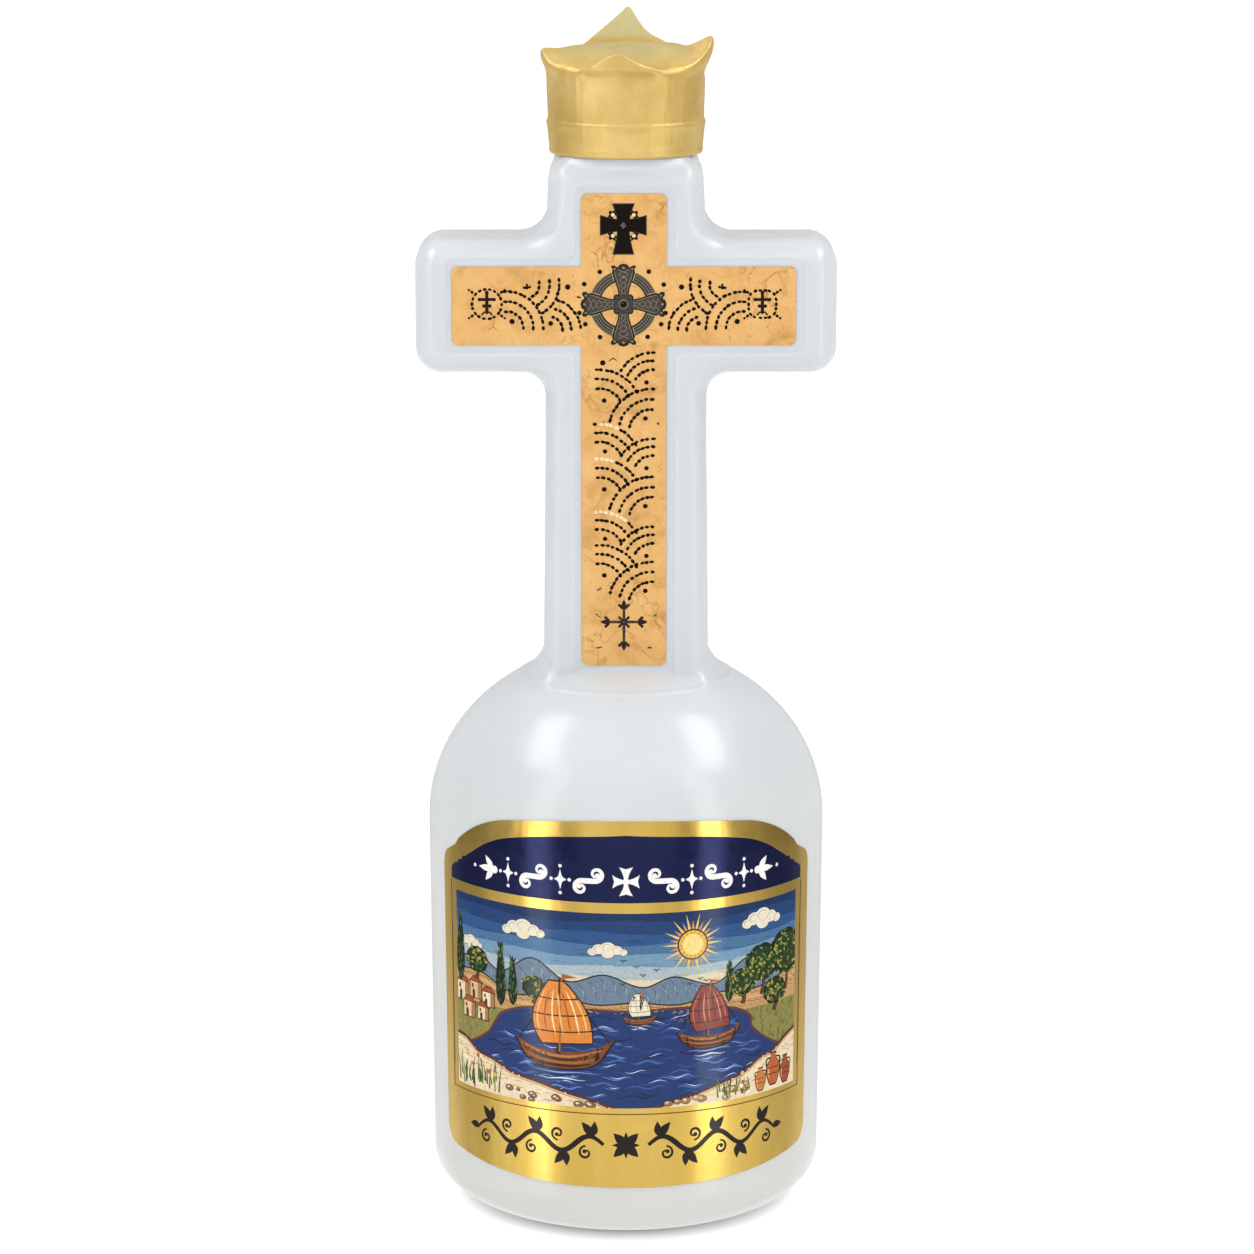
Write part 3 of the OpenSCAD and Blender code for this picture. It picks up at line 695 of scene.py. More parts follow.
def sticker_prints():
    ink, rng = Ink(), np.random.default_rng(21)
    # fans up the stem, right and left by turns
    for z in (158.5, 142.4, 125.8):
        for r in (6.9, 5.4, 3.7):
            dashes(ink, 4.95, z, r, 0, -58, rng)
        ink.disc(3.8, z + 1.35, 0.44, BLACK, 1, 0.42)
    for z, pale in ((154.3, ()), (137.6, (-6, 24)), (121.3, ())):
        for r in (7.9, 6.2, 4.4):
            dashes(ink, -4.93, z, r, -4, 60, rng, pale if r > 7 else ())
        ink.disc(-4.05, z + 2.15, 0.46, BLACK, 1, 0.44)
    for z in (150.6, 134.1, 118.0):
        for r in (8.0, 6.1, 4.2):
            dashes(ink, 4.75, z, r, 1, -75, rng)
        ink.disc(3.6, z + 2.5, 0.46, BLACK, 1, 0.44)
    for z, pale in ((144.1, (2, 24)), (127.6, (-6, 38))):
        for r in (7.9, 6.3, 4.6):
            dashes(ink, -4.95, z, r, -5, 58, rng, pale if r > 7 else ())
        ink.disc(-3.9, z + 2.8, 0.44, BLACK, 1, 0.42)
    ink.disc(-4.3, 163.5, 0.52, BLACK, 1, 0.5)
    ink.stroke([(-3.2, 163.8), (-2.4, 164.4), (-1.7, 163.9)], 0.26, SOOT, 1, (0.4, 1, 0.4))
    # fans along both arms
    for side in (-1, 1):
        mx = lambda x: -0.25 + side * (-x - 0.25)
        for r in (6.7, 4.85, 3.0):
            dashes(ink, mx(-21.98), 170.05, r, -4 * -side, 90 * -side, rng)
        for r in (2.5, 4.4, 6.1):
            dashes(ink, mx(-18.43), 178.1, r, 82 * -side, 150 * -side, rng)
        for r in (5.9, 4.2, 2.6):
            dashes(ink, mx(-14.28), 169.5, r, 18 * -side, 84 * -side, rng)
        for x, z, r in ((-21.03, 171.2, 0.5), (-10.74, 177.6, 0.5), (-13.9, 170.85, 0.46)):
            ink.disc(mx(x), z, r, BLACK, 1)
        for dx, dz, r in ((0, 0, 0.38), (0.55, 0.1, 0.26), (-0.5, -0.05, 0.26), (0.05, 0.5, 0.24)):
            ink.disc(mx(-18.3 + dx), 177.5 + dz, r, BLACK, 1, n=9)
        # small cross in a ring of beads
        cx, cz = (-25.67, 174.43) if side < 0 else (25.16, 174.43)
        for k in range(18):
            a = math.radians(20 * k + rng.uniform(-3, 3))
            e = 2.0 if side < 0 else 3.0
            q = (2.75 if side < 0 else 2.55) / (abs(math.cos(a)) ** e + abs(math.sin(a)) ** e) ** (1 / e)
            ink.disc(cx + q * math.cos(a), cz + q * math.sin(a), rng.uniform(0.34, 0.44), BLACK, 1, rng.uniform(0.24, 0.32), 9, math.degrees(a) + 90)
        for dx in (-1, 1):
            for dz in (-1, 1):
                ink.disc(cx + dx * 2.72, cz + dz * 2.2, 0.36, BLACK, 1, 0.27, 9, 40 * dx * dz)
                ink.disc(cx + dx * 3.3, cz + dz * 2.6, 0.28, BLACK, 1, 0.22, 8, 40 * dx * dz)
        tone = rgb("#231a14")
        ink.poly([(cx - 0.32, cz - 1.6), (cx + 0.32, cz - 1.6), (cx + 0.28, cz + 2.2), (cx - 0.28, cz + 2.2)], tone, 1)
        for dz, half in ((0.85, 1.35), (-0.35, 0.55)):
            ink.poly([(cx - half, cz + dz - 0.28), (cx + half, cz + dz - 0.28), (cx + half, cz + dz + 0.28), (cx - half, cz + dz + 0.28)], tone, 2)
            for e in (-1, 1):
                ink.disc(cx + e * half, cz + dz, 0.34, tone, 3, n=10)
        ink.disc(cx, cz + 2.15, 0.36, tone, 3, n=10)
        ink.stroke([(cx - 1.0, cz - 2.05), (cx - 0.45, cz - 1.45), (cx, cz - 1.75), (cx + 0.45, cz - 1.45), (cx + 1.0, cz - 2.05)], 0.34, tone, 3)
    for x, z in ((-4.83, 180.4), (4.2, 180.45), (-7.7, 178.15), (6.95, 178.05), (-8.6, 172.8), (7.3, 172.8), (-7.5, 170.7), (6.5, 170.7), (-4.8, 168.3), (4.0, 168.35)):
        ink.disc(x, z, 0.46, BLACK, 1, 0.46, 8, 22)
    ink.disc(-8.7, 175.7, 0.46, BLACK, 1, 0.18, 8, -12)
    ring_cross(ink, -0.46, 174.4)
    flared_cross(ink, -0.49, 189.0)
    thin_cross(ink, -0.39, 114.57)
    # stains and fibres of the parchment
    for x, z, w in ((5.86, 152.1, 0.5), (-4.9, 120.8, 0.75), (-5.2, 115.75, 0.55), (5.4, 115.9, 0.5), (-5.0, 109.7, 0.8), (4.3, 109.7, 0.8)):
        for _ in range(3):
            a, dx, dz = rng.uniform(-30, 30), rng.uniform(-0.3, 0.3), rng.uniform(-0.25, 0.25)
            ink.leaf(x + dx - w / 2, z + dz, w, 0.22, a, rgb("#6b3f1c"), 1, rng.uniform(-0.1, 0.1))
    fibre = [rgb("#c48f48"), rgb("#b98142"), rgb("#cf9a52"), rgb("#d6a35b")]
    spots = [(rng.uniform(-7.6, 7.6), rng.uniform(107, 194)) for _ in range(70)] + [(rng.uniform(-31, 31), rng.uniform(167, 181)) for _ in range(62)]
    for x, z in spots:
        a, n = rng.uniform(0, 360), 5
        p = [(0.0, 0.0)]
        for _ in range(n):
            a += rng.uniform(-35, 35)
            p.append((p[-1][0] + 0.5 * math.cos(math.radians(a)), p[-1][1] + 0.5 * math.sin(math.radians(a))))
        p = np.array(p) * rng.uniform(0.5, 1.2) + (x, z)
        if (np.abs(p[:, 0] + 0.38).max() < 7.6 and 107 < p[:, 1].min() and p[:, 1].max() < 194.4) or (np.abs(p[:, 0] + 0.38).max() < 31.4 and 167.1 < p[:, 1].min() and p[:, 1].max() < 181):
            ink.stroke(p, rng.uniform(0.06, 0.13), fibre[rng.integers(0, 4)], 0, (0.2, 1, 0.7, 0.2))
    for pts in (((6.0, 193.2), (6.9, 192.4), (6.3, 191.6), (7.2, 190.7)), ((26.2, 179.2), (28.0, 180.4), (28.8, 178.2)), ((-24.3, 171.6), (-24.5, 170.2), (-23.4, 169.4)), ((-24.5, 170.2), (-25.5, 169.6)), ((-6.6, 184.2), (-5.4, 183.6), (-5.0, 182.3))):
        ink.stroke(curve(pts, 5), 0.16, rgb("#a8702f"), 0, (0.3, 1, 0.8, 0.3))
    return ink.items


def ring_cross(ink, cx, cz):
    """Ringed cross in dark pewter with lobed ends."""
    dark, mid, light, glint = rgb("#2b2722"), rgb("#4b453c"), rgb("#857d6c"), rgb("#cdbb98")
    at = lambda pts, deg=0: turn(pts, deg, (cx, cz))
    for a0 in (0, 90, 180, 270):
        ink.ring(cx, cz, 4.3, 6.25, dark, 1, a0 + 12, a0 + 78, 14)
        ink.ring(cx, cz, 4.55, 6.0, mid, 2, a0 + 20, a0 + 70, 12)
        for r, tone in ((4.72, light), (4.98, dark), (5.22, light), (5.46, dark), (5.70, light), (6.1, light)):
            ink.ring(cx, cz, r - 0.055, r + 0.055, tone, 3, a0 + 22, a0 + 68, 12)
    for deg, long in ((0, 7.6), (90, 7.2), (180, 7.6), (270, 7.55)):
        half = [(0.2, -1.0), (2.2, -1.0), (3.6, -1.35), (5.0, -1.85), (6.0, -2.1), (6.5, -1.95), (6.9, -2.3), (long - 0.1, -2.25), (long, -1.75), (long - 0.35, -1.1), (long + 0.1, -0.75), (long + 0.35, 0)]
        line = np.concatenate([curve(half, 4), (curve(half, 4) * [1, -1])[-2::-1]])
        ink.poly(at(line, deg), dark, 5)
        ink.poly(at((line - [3.9, 0]) * [0.9, 0.78] + [3.75, 0], deg), mid, 6)
        t = np.linspace(0, 1, 30)  # two strands plaited along the arm
        for k, s in enumerate((-1, 1)):
            strand = np.stack([2.0 + 4.5 * t, s * (0.28 + 0.75 * t) * np.sin(2 * np.pi * 2.25 * t)], 1)
            ink.stroke(at(strand, deg), 0.34, dark, 7 + k)
            ink.stroke(at(strand, deg), 0.15, light, 7.5 + k)
        for s in (-1, 1):
            ink.stroke(at(curve([(2.3, 0.62 * s), (3.6, 0.95 * s), (5.2, 1.5 * s), (6.2, 1.7 * s)], 4), deg), 0.13, light, 7, (0.5, 1, 1, 0.6))
            ink.disc(*at([(long - 0.65, 1.62 * s)], deg)[0], 0.42, dark, 7, n=10)
            ink.disc(*at([(long - 0.65, 1.62 * s)], deg)[0], 0.22, light, 8, n=8)
            ink.stroke(at([(4.35, 1.75 * s), (6.1, 2.25 * s)], deg), 0.16, glint if (deg + s) % 3 else light, 10, (0.5, 1, 0.5))
        ink.disc(*at([(long - 0.45, 0)], deg)[0], 0.5, dark, 7, n=10)
        ink.disc(*at([(long - 0.45, 0)], deg)[0], 0.28, light, 8, n=8)
        for d in (1.5, 1.9, 2.3, 2.7):
            ink.stroke(at([(d, -0.55), (d + 0.12, 0), (d, 0.55)], deg), 0.12, dark if d != 1.9 else light, 7)
    for deg in (45, 135, 225, 315):
        ink.disc(*at([(1.75, 0)], deg)[0], 0.62, dark, 5.5, n=12)
        ink.disc(*at([(1.7, 0)], deg)[0], 0.36, mid, 7, n=10)
    ink.disc(cx, cz, 1.2, dark, 10, n=20)
    ink.ring(cx, cz, 0.66, 0.78, light, 11, n=24)
    ink.ring(cx, cz, 0.92, 1.02, light, 11, n=24)
    ink.disc(cx, cz, 0.58, rgb("#0f0c0a"), 11, n=16)
    ink.disc(cx - 0.16, cz + 0.2, 0.2, mid, 12, n=9)
    for x, z in ((-0.22, 4.9), (0.25, 4.9)):
        ink.leaf(cx + x * 0.6, cz + z, 0.5, 0.22, 60 if x < 0 else 120, glint, 12)


def flared_cross(ink, cx, cz):
    """Black cross with flared arms over a small pierced ring."""
    brown, gold = rgb("#2a1a10"), rgb("#f6dca0")
    for deg in (45, 135, 225, 315):
        ink.ring(cx, cz, 2.35, 3.25, brown, 1, deg - 31, deg + 31, 10)
        ink.disc(*turn([(2.72, 0)], deg, (cx, cz))[0], 0.34, gold, 2, n=10)
        for d in (-19, 19):
            ink.disc(*turn([(2.75, 0)], deg + d, (cx, cz))[0], 0.22, gold, 2, n=8)
        ink.disc(*turn([(3.35, 0)], deg, (cx, cz))[0], 0.34, brown, 1.5, n=9)
    for deg, long, wide in ((0, 4.3, 1.85), (90, 4.05, 2.05), (180, 4.3, 1.85), (270, 5.4, 1.95)):
        t = np.linspace(0, 1, 9)
        low = np.stack([t * long, -(1.06 + (wide - 1.0) * t**1.6)], 1)
        p = np.concatenate([low, (low * [1, -1])[::-1]])
        ink.poly(turn(p, deg, (cx, cz)), BLACK, 3 + deg / 300)
        for s in (-1, 1):
            edge = np.stack([t * long, s * (0.92 + (wide - 1.0) * t**1.6)], 1)[2:]
            ink.stroke(turn(edge, deg, (cx, cz)), 0.09, rgb("#3d3833"), 4.4, (0.3, 1, 1))
        ink.stroke(turn([(long - 0.16, -wide * 0.85), (long - 0.16, wide * 0.85)], deg, (cx, cz)), 0.09, rgb("#3d3833"), 4.6)
    ink.poly(turn([(0, -0.56), (0.5, 0), (0, 0.56), (-0.5, 0)], 0, (cx, cz)), rgb("#9d9383"), 5)
    ink.poly(turn([(0, -0.45), (0.4, 0), (0, 0.45), (-0.4, 0)], 0, (cx, cz)), BLACK, 6)
    ink.disc(cx, cz, 0.12, rgb("#9d9383"), 7, n=8)


def thin_cross(ink, cx, cz):
    """Slender cross with three-lobed ends."""
    tone, pale = rgb("#2a2420"), rgb("#6d6258")
    for deg, long in ((0, 4.1), (90, 3.9), (180, 4.1), (270, 5.2)):
        at = lambda pts: turn(pts, deg, (cx, cz))
        ink.poly(at([(0, -0.3), (long - 0.9, -0.22), (long - 0.9, 0.22), (0, 0.3)]), tone, 1)
        ink.stroke(at([(0.5, 0), (long - 1.2, 0)]), 0.1, pale, 2)
        ink.leaf(*at([(long - 1.3, 0)])[0], 1.65, 0.85, deg, tone, 3)
        for s in (-1, 1):
            ink.leaf(*at([(long - 1.25, 0.1 * s)])[0], 1.1, 0.55, deg + 58 * s, tone, 3.5 + 0.4 * s)
            ink.disc(*at([(long - 0.72, 0.82 * s)])[0], 0.3, tone, 4, n=9)
            ink.leaf(*at([(0.25, 0.25 * s)])[0], 1.25, 0.45, deg + 45 * s, tone, 5 + 0.4 * s + deg / 300)
        ink.poly(at([(long - 1.45, -0.55), (long - 1.2, -0.55), (long - 1.2, 0.55), (long - 1.45, 0.55)]), tone, 4.4)
    for deg in (45, 135, 225, 315):
        ink.disc(*turn([(1.15, 0)], deg, (cx, cz))[0], 0.27, tone, 7, n=9)
    ink.disc(cx, cz, 0.5, tone, 8, n=12)
    ink.disc(cx, cz, 0.2, pale, 9, n=8)


# ---- ornaments of the body label ----
def scroll(ink, x, z, size, col, level, flip=False):
    """S-shaped scroll with a bead in each end."""
    a = np.linspace(0, 1, 30)
    ang, rad = np.radians(-100 + 415 * a), 1.18 - 0.86 * a
    half = np.stack([1.28 + rad * np.cos(ang), rad * np.sin(ang) + 1.16], 1)
    p = np.concatenate([-half[::-1], half])
    p = turn(p, 0, (x, z), size, flip)
    ink.stroke(p, 0.62 * size, col, level, (0.45, 0.75, 1.0, 1.5, 1.0, 0.75, 0.45))
    for s in (0, -1):
        ink.disc(p[s][0], p[s][1], 0.42 * size, col, level + 1, n=12)


def banner_ornament(ink, col, level):
    z = 71.1
    for deg, long in ((0, 2.5), (90, 2.75), (180, 2.5), (270, 2.75)):
        t = np.linspace(0, 1, 8)
        low = np.stack([t * long, -(0.32 + 0.95 * t**1.9)], 1)
        end = [(long - 0.35, 0)]
        ink.poly(turn(np.concatenate([low, end, (low * [1, -1])[::-1]]), deg, (0, z)), col, level)
    ink.disc(0, z, 0.62, col, level + 1, n=14)
    for s in (-1, 1):
        for k, x in enumerate((6.9, 17.6)):
            scroll(ink, s * x, z, 1.12, col, level, flip=s > 0)
        for x in (12.2, 23.0):
            p = curve([(0, 1.9), (0.42, 0.5), (1.15, 0), (0.42, -0.5), (0, -1.9)], 5)
            ink.poly(np.concatenate([p, (p * [-1, 1])[-2:0:-1]]) + (s * x, z), col, level)
            for dx, dz in ((1.75, 0), (-1.75, 0), (0, 2.55), (0, -2.55)):
                ink.disc(s * x + dx, z + dz, 0.34, col, level, n=10)
        for k, deg in enumerate((0, 52, -52)):
            ink.leaf(s * 26.6, z, 3.6 if k == 0 else 3.0, 1.25, deg if s > 0 else 180 - deg, col, level + 0.5 * k, 0.0)
        ink.disc(s * 26.2, z, 0.75, col, level + 2, n=14)
        ink.disc(s * 31.3, z, 0.34, col, level, n=10)


def vine_ornament(ink, col, level):
    """A running vine with paired leaves and tendrils, mirrored about the middle."""
    z0 = 20.3
    for s in (-1, 1):
        t = np.linspace(0, 1, 90)
        x = 4.2 + 27.6 * t
        w = 1.55 * np.sin(2 * np.pi * (x - 4.2) / 10.8)
        ink.stroke(np.stack([s * x, z0 + w], 1), 0.95, col, level, (0.7, 1.1, 1, 1, 0.9, 0.8, 0.5))
        for k in range(5):
            xc = 4.2 + 2.7 + 5.4 * k
            up = 1 if k % 2 == 0 else -1
            zc = z0 + up * 1.5
            for deg, long, wide in ((100, 3.1, 1.5), (55, 3.4, 1.55)):
                d = deg * up
                ink.leaf(s * (xc - 0.5), zc, long, wide, d if s > 0 else 180 - d, col, level + 1, 0.18 * up * s)
            a = np.linspace(0, 1, 22)
            ang, rad = np.radians(90 - 400 * a), 1.35 - 1.0 * a
            tend = np.stack([xc + 0.7 + rad * np.cos(ang), z0 - up * (0.2 + 1.5) + up * rad * np.sin(ang)], 1) * [s, 1]
            ink.stroke(tend, 0.5, col, level + 2, (0.7, 1, 0.8, 0.5))
            ink.disc(tend[-1][0], tend[-1][1], 0.4, col, level + 3, n=10)
        ink.leaf(s * 31.2, z0, 2.6, 1.4, 0 if s > 0 else 180, col, level + 1)
    for k in range(4):
        ink.leaf(0, z0, 3.3, 1.7, 45 + 90 * k, col, level + 0.4 * k)
        ink.leaf(0, z0, 2.6, 0.9, 90 * k, col, level + 2 + 0.3 * k)
    ink.disc(0, z0, 0.9, col, level + 4, n=16)


def lake_picture():
    """Boats on a lake between two shores, in the manner of an old coloured print."""
    box = (-37.5, 27.5, 37.5, 65.0)
    ink, rng = Ink(box), np.random.default_rng(4)
    line = rgb("#25160f")
    # sky in wavy bands
    tones = ["#17305c", "#1f3f70", "#2c5386", "#4a7199", "#7396b0", "#a9b9bd", "#dccfae", "#e6cf9c"]
    s = np.linspace(-38, 38, 40)
    edges = [65.5 - 2.15 * k + (0.35 * np.sin(s * 0.21 + 1.7 * k) if 0 < k else 0) for k in range(len(tones) + 1)]
    for k, tone in enumerate(tones):
        ink.poly(np.concatenate([np.stack([s, edges[k + 1] + 0 * s], 1), np.stack([s, edges[k] + 0 * s], 1)[::-1]]), rgb(tone), 0)
        for _ in range(16):
            x, z = rng.uniform(-37, 36), np.interp(rng.uniform(), [0, 1], [64.6 - 2.15 * k, 63.2 - 2.15 * k])
            ink.stroke(curve([(x, z), (x + 1.2, z + 0.12), (x + rng.uniform(2, 4), z - 0.05)], 4), 0.14, rgb(tones[max(0, k - 1)]), 1, (0.2, 1, 0.2))
    ink.poly([(-38, 27), (38, 27), (38, 48.4), (-38, 48.4)], rgb("#8a8447"), 0)
    for k in range(150):
        x, z = rng.uniform(22, 37) * (-1 if k % 2 else 1), rng.uniform(35, 44)
        ink.stroke(curve([(x, z), (x + 0.3, z + 0.5), (x + rng.uniform(-0.3, 0.6), z + 1.1)], 3), 0.2, rgb(("#5d6a34", "#b0a35a", "#4a5a2c", "#77813f")[k % 4]), 9.6 + 0.1 * (k % 4), (1, 0.7, 0.1))
    # sun with straight rays, right of the middle
    sx, sz = 12.5, 58.6
    for k in range(28):
        a = 360 / 28 * k
        long = (6.0, 4.6)[k % 2]
        ink.poly(turn([(3.0, -0.26), (long, 0), (3.0, 0.26)], a, (sx, sz)), rgb(("#efc964", "#d9973a")[k % 2]), 2)
    ink.disc(sx, sz, 2.9, line, 3, n=30)
    ink.disc(sx, sz, 2.7, rgb("#eab84c"), 4, n=30)
    ink.disc(sx, sz, 2.0, rgb("#f6da86"), 5, n=26)
    for k in range(18):
        ink.stroke(turn([(2.1, 0), (2.6, 0)], 20 * k, (sx, sz)), 0.12, rgb("#b9772a"), 6)
    # clouds
    for cx, cz, k in ((-20, 60.2, 1.0), (-3.5, 57.6, 0.8), (27.5, 61.0, 1.05), (-33, 55.6, 0.7)):
        puffs = [(-3.4, 0, 1.1), (-1.9, 0.7, 1.5), (0.2, 1.0, 1.8), (2.2, 0.5, 1.4), (3.7, 0, 1.0), (0.2, -0.25, 1.5)]
        for dx, dz, r in puffs:
            ink.disc(cx + dx * k, cz + dz * k, (r + 0.14) * k, rgb("#3b4b63"), 2 + 0.15 * dx, 0.78 * (r + 0.14) * k, 18)
        for dx, dz, r in puffs:
            ink.disc(cx + dx * k, cz + dz * k, r * k, rgb("#eadfc6"), 4 + 0.1 * dx, 0.78 * r * k, 18)
        for dx, dz, r in puffs[:5]:
            ink.stroke(arc(cx + dx * k, cz + dz * k, 0.62 * r * k, 30, 250, 12, 0.5 * r * k), 0.16 * k, rgb("#9aa6b0"), 5.5, (0.3, 1, 0.4))
    # far mountains
    ridge = curve([(-38, 51.5), (-31, 54.2), (-25, 51.8), (-18, 55.4), (-11, 51.6), (-4, 53.2), (3, 50.8), (9, 52.6), (17, 50.6), (24, 54.6), (30, 52.2), (38, 55.2)], 7)
    ink.poly(np.concatenate([ridge, [(38, 45), (-38, 45)]]), rgb("#6d7f93"), 7)
    ink.stroke(ridge, 0.24, line, 8)
    for x, z in ridge[2:-2:2]:
        for j in range(3):
            ink.stroke(curve([(x + 0.4 * j, z - 0.35 - 0.9 * j), (x + 0.7 + 0.4 * j, z - 1.2 - 0.9 * j), (x + 0.6 + 0.4 * j, z - 2.1 - 0.8 * j)], 3), 0.15, rgb(("#3f4d60", "#a9b3bb", "#4d5c6e")[j]), 8.5, (0.2, 1, 0.3))
    # tan hills
    ridge = curve([(-38, 50.2), (-30, 50.6), (-22, 47.9), (-14, 48.9), (-6, 47.4), (2, 47.9), (10, 47.2), (18, 48.8), (27, 48.4), (38, 51.0)], 7)
    ink.poly(np.concatenate([ridge, [(38, 44.6), (-38, 44.6)]]), rgb("#c39a63"), 9)
    ink.stroke(ridge, 0.26, line, 10)
    for x, z in ridge[1:-1]:
        n = 2 if abs(x) < 8 else 4
        for j in range(n):
            ink.stroke(curve([(x, z - 0.3 - 0.8 * j), (x + 0.8, z - 0.75 - 0.8 * j), (x + 1.9, z - 0.8 - 0.85 * j)], 3), 0.17, rgb(("#8b5a33", "#e3c48d", "#7a4a2b", "#a9793f")[j]), 10.5, (0.2, 1, 0.2))
    # lake
    shore = curve([(-38, 34.6), (-33, 36.4), (-28.5, 39.0), (-26.5, 41.6), (-24.5, 43.8), (-19, 45.6), (-10, 46.3), (0, 46.1), (11, 46.4), (20, 45.4), (24.5, 43.4), (25.5, 40.6), (29.5, 37.6), (34, 35.6), (38, 35.2)], 7)
    ink.poly(np.concatenate([shore, [(38, 27), (-38, 27)]]), rgb("#21386d"), 11)
    ink.stroke(shore + (0, 0.16), 0.42, rgb("#6a3624"), 11.5)
    for k in range(15):
        z = 45.2 - 1.08 * k
        half = 21 + 1.3 * k
        n = 5 + k // 2
        for j in range(n):
            x = -half + 2 * half * (j + rng.uniform(0.1, 0.9)) / n
            long = rng.uniform(3.5, 8.5)
            p = np.stack([np.linspace(x, x + long, 18), z + 0.28 * np.sin(np.linspace(0, long * 1.35, 18) + rng.uniform(0, 6)) + rng.uniform(-0.4, 0.4)], 1)
            lim = np.interp(p[:, 1], [34, 38.5, 42, 45], [37, 29, 25.5, 20])
            if np.all(np.abs(p[:, 0]) < lim - 0.6):
                ink.stroke(p, rng.uniform(0.22, 0.5), rgb(("#3f5fa3", "#16264f", "#5877b5", "#2d4a8c")[rng.integers(0, 4)]), 12 + 0.3 * (j % 3), (0.1, 1, 0.8, 1, 0.1))
                if rng.uniform() < 0.42:
                    ink.stroke(p[4:14] + (0.3, 0.3), 0.17, rgb("#ccd6ea"), 13.2, (0.1, 1, 0.1))
    # houses on the left hill
    for x, z, w, h, tone in ((-35.6, 44.0, 3.6, 3.6, "#e9d5ae"), (-31.6, 45.2, 3.2, 3.1, "#d9b98a"), (-28.2, 44.2, 3.0, 2.7, "#ecdcb9"), (-33.6, 41.2, 3.4, 2.9, "#dfc497"), (-29.6, 41.4, 2.8, 2.4, "#e8d2a8")):
        ink.poly([(x - w / 2 - 0.15, z - 0.15), (x + w / 2 + 0.15, z - 0.15), (x + w / 2 + 0.15, z + h + 0.1), (x - w / 2 - 0.15, z + h + 0.1)], line, 13)
        ink.poly([(x - w / 2, z), (x + w / 2, z), (x + w / 2, z + h), (x - w / 2, z + h)], rgb(tone), 13.5)
        ink.poly([(x + w * 0.18, z), (x + w / 2, z), (x + w / 2, z + h), (x + w * 0.18, z + h)], rgb("#a9794c"), 14)
        ink.poly([(x - w / 2 - 0.4, z + h), (x + w / 2 + 0.4, z + h), (x + w * 0.22, z + h + 1.25), (x - w * 0.22, z + h + 1.25)], line, 14.2)
        ink.poly([(x - w / 2 - 0.2, z + h + 0.15), (x + w / 2 + 0.2, z + h + 0.15), (x + w * 0.2, z + h + 1.1), (x - w * 0.2, z + h + 1.1)], rgb("#b4532f"), 14.6)
        for j in range(4):
            ink.stroke([(x - w * 0.36 + w * 0.24 * j, z + h + 0.2), (x - w * 0.2 + w * 0.13 * j, z + h + 1.05)], 0.12, rgb("#6f2c1b"), 15)
        ink.poly([(x - w * 0.3, z), (x - w * 0.08, z), (x - w * 0.08, z + h * 0.45), (x - w * 0.19, z + h * 0.58), (x - w * 0.3, z + h * 0.45)], rgb("#4b2a1a"), 14.5)
        ink.poly([(x - w * 0.36, z + h * 0.62), (x - w * 0.2, z + h * 0.62), (x - w * 0.2, z + h * 0.86), (x - w * 0.36, z + h * 0.86)], rgb("#5f3d26"), 14.5)

    def tree(x, z, r, high):
        ink.stroke(curve([(x - 0.2, z), (x + 0.3, z + high * 0.5), (x, z + high)], 5), 0.75, line, 15, (1.3, 0.9, 0.7))
        ink.stroke(curve([(x - 0.1, z), (x + 0.3, z + high * 0.5), (x + 0.1, z + high)], 5), 0.4, rgb("#6b4226"), 15.5, (1.2, 0.9, 0.7))
        for k in range(9):
            a = 40 * k
            ink.disc(x + 0.62 * r * math.cos(math.radians(a)), z + high + r * 0.55 + 0.5 * r * math.sin(math.radians(a)), 0.56 * r, rgb("#16260f"), 16 + 0.2 * (k % 3), 0.5 * r, 14)
        ink.disc(x, z + high + 0.55 * r, 0.95 * r, rgb("#243a1b"), 17, 0.8 * r, 20)
        for k in range(int(62 * r / 3)):
            a, d = rng.uniform(0, 360), r * math.sqrt(rng.uniform()) * 1.08
            tone = ("#2f4a22", "#4a6a30", "#71853c", "#a3a04c", "#1c2f14", "#b9953f")[rng.integers(0, 6)]
            ink.leaf(x + d * math.cos(math.radians(a)), z + high + r * 0.55 + 0.85 * d * math.sin(math.radians(a)), rng.uniform(0.6, 1.1), rng.uniform(0.3, 0.5), rng.uniform(0, 360), rgb(tone), 17.5 + 0.25 * (k % 8))

    def cypress(x, z, high, w):
        t = np.linspace(0, 1, 14)
        half = w / 2 * np.sin(np.pi * np.clip(t, 0, 1) ** 0.62) ** 0.8
        p = np.concatenate([np.stack([x + half, z + high * t], 1), np.stack([x - half, z + high * t], 1)[-2:0:-1]])
        ink.poly(p, rgb("#14230f"), 16)
        for k in range(44):
            u = rng.uniform(0.04, 0.93)
            h = w / 2 * math.sin(math.pi * u**0.62) ** 0.8 * 0.82
            dx = rng.uniform(-h, h)
            tone = ("#2c4520", "#3f5c2b", "#5f7637", "#1c3015")[rng.integers(0, 4)]
            ink.leaf(x + dx, z + high * u, rng.uniform(0.7, 1.3), rng.uniform(0.22, 0.36), 90 - 25 * dx / max(h, 0.1), rgb(tone), 16.5 + 0.25 * (k % 6))

    for x, z, high, w in ((-36.2, 47.6, 13.5, 2.6), (-25.0, 45.0, 12.5, 2.3), (-22.2, 45.6, 9.5, 2.0), (20.0, 46.6, 8.0, 1.8)):
        cypress(x, z, high, w)
    for x, z, r, high in ((34.5, 46.5, 4.4, 5.0), (27.8, 46.8, 3.7, 4.2), (23.2, 45.8, 2.7, 2.9), (31.2, 43.0, 2.7, 2.4), (-17.6, 46.6, 2.2, 2.0), (-31.2, 49.0, 2.6, 2.4)):
        tree(x, z, r, high)
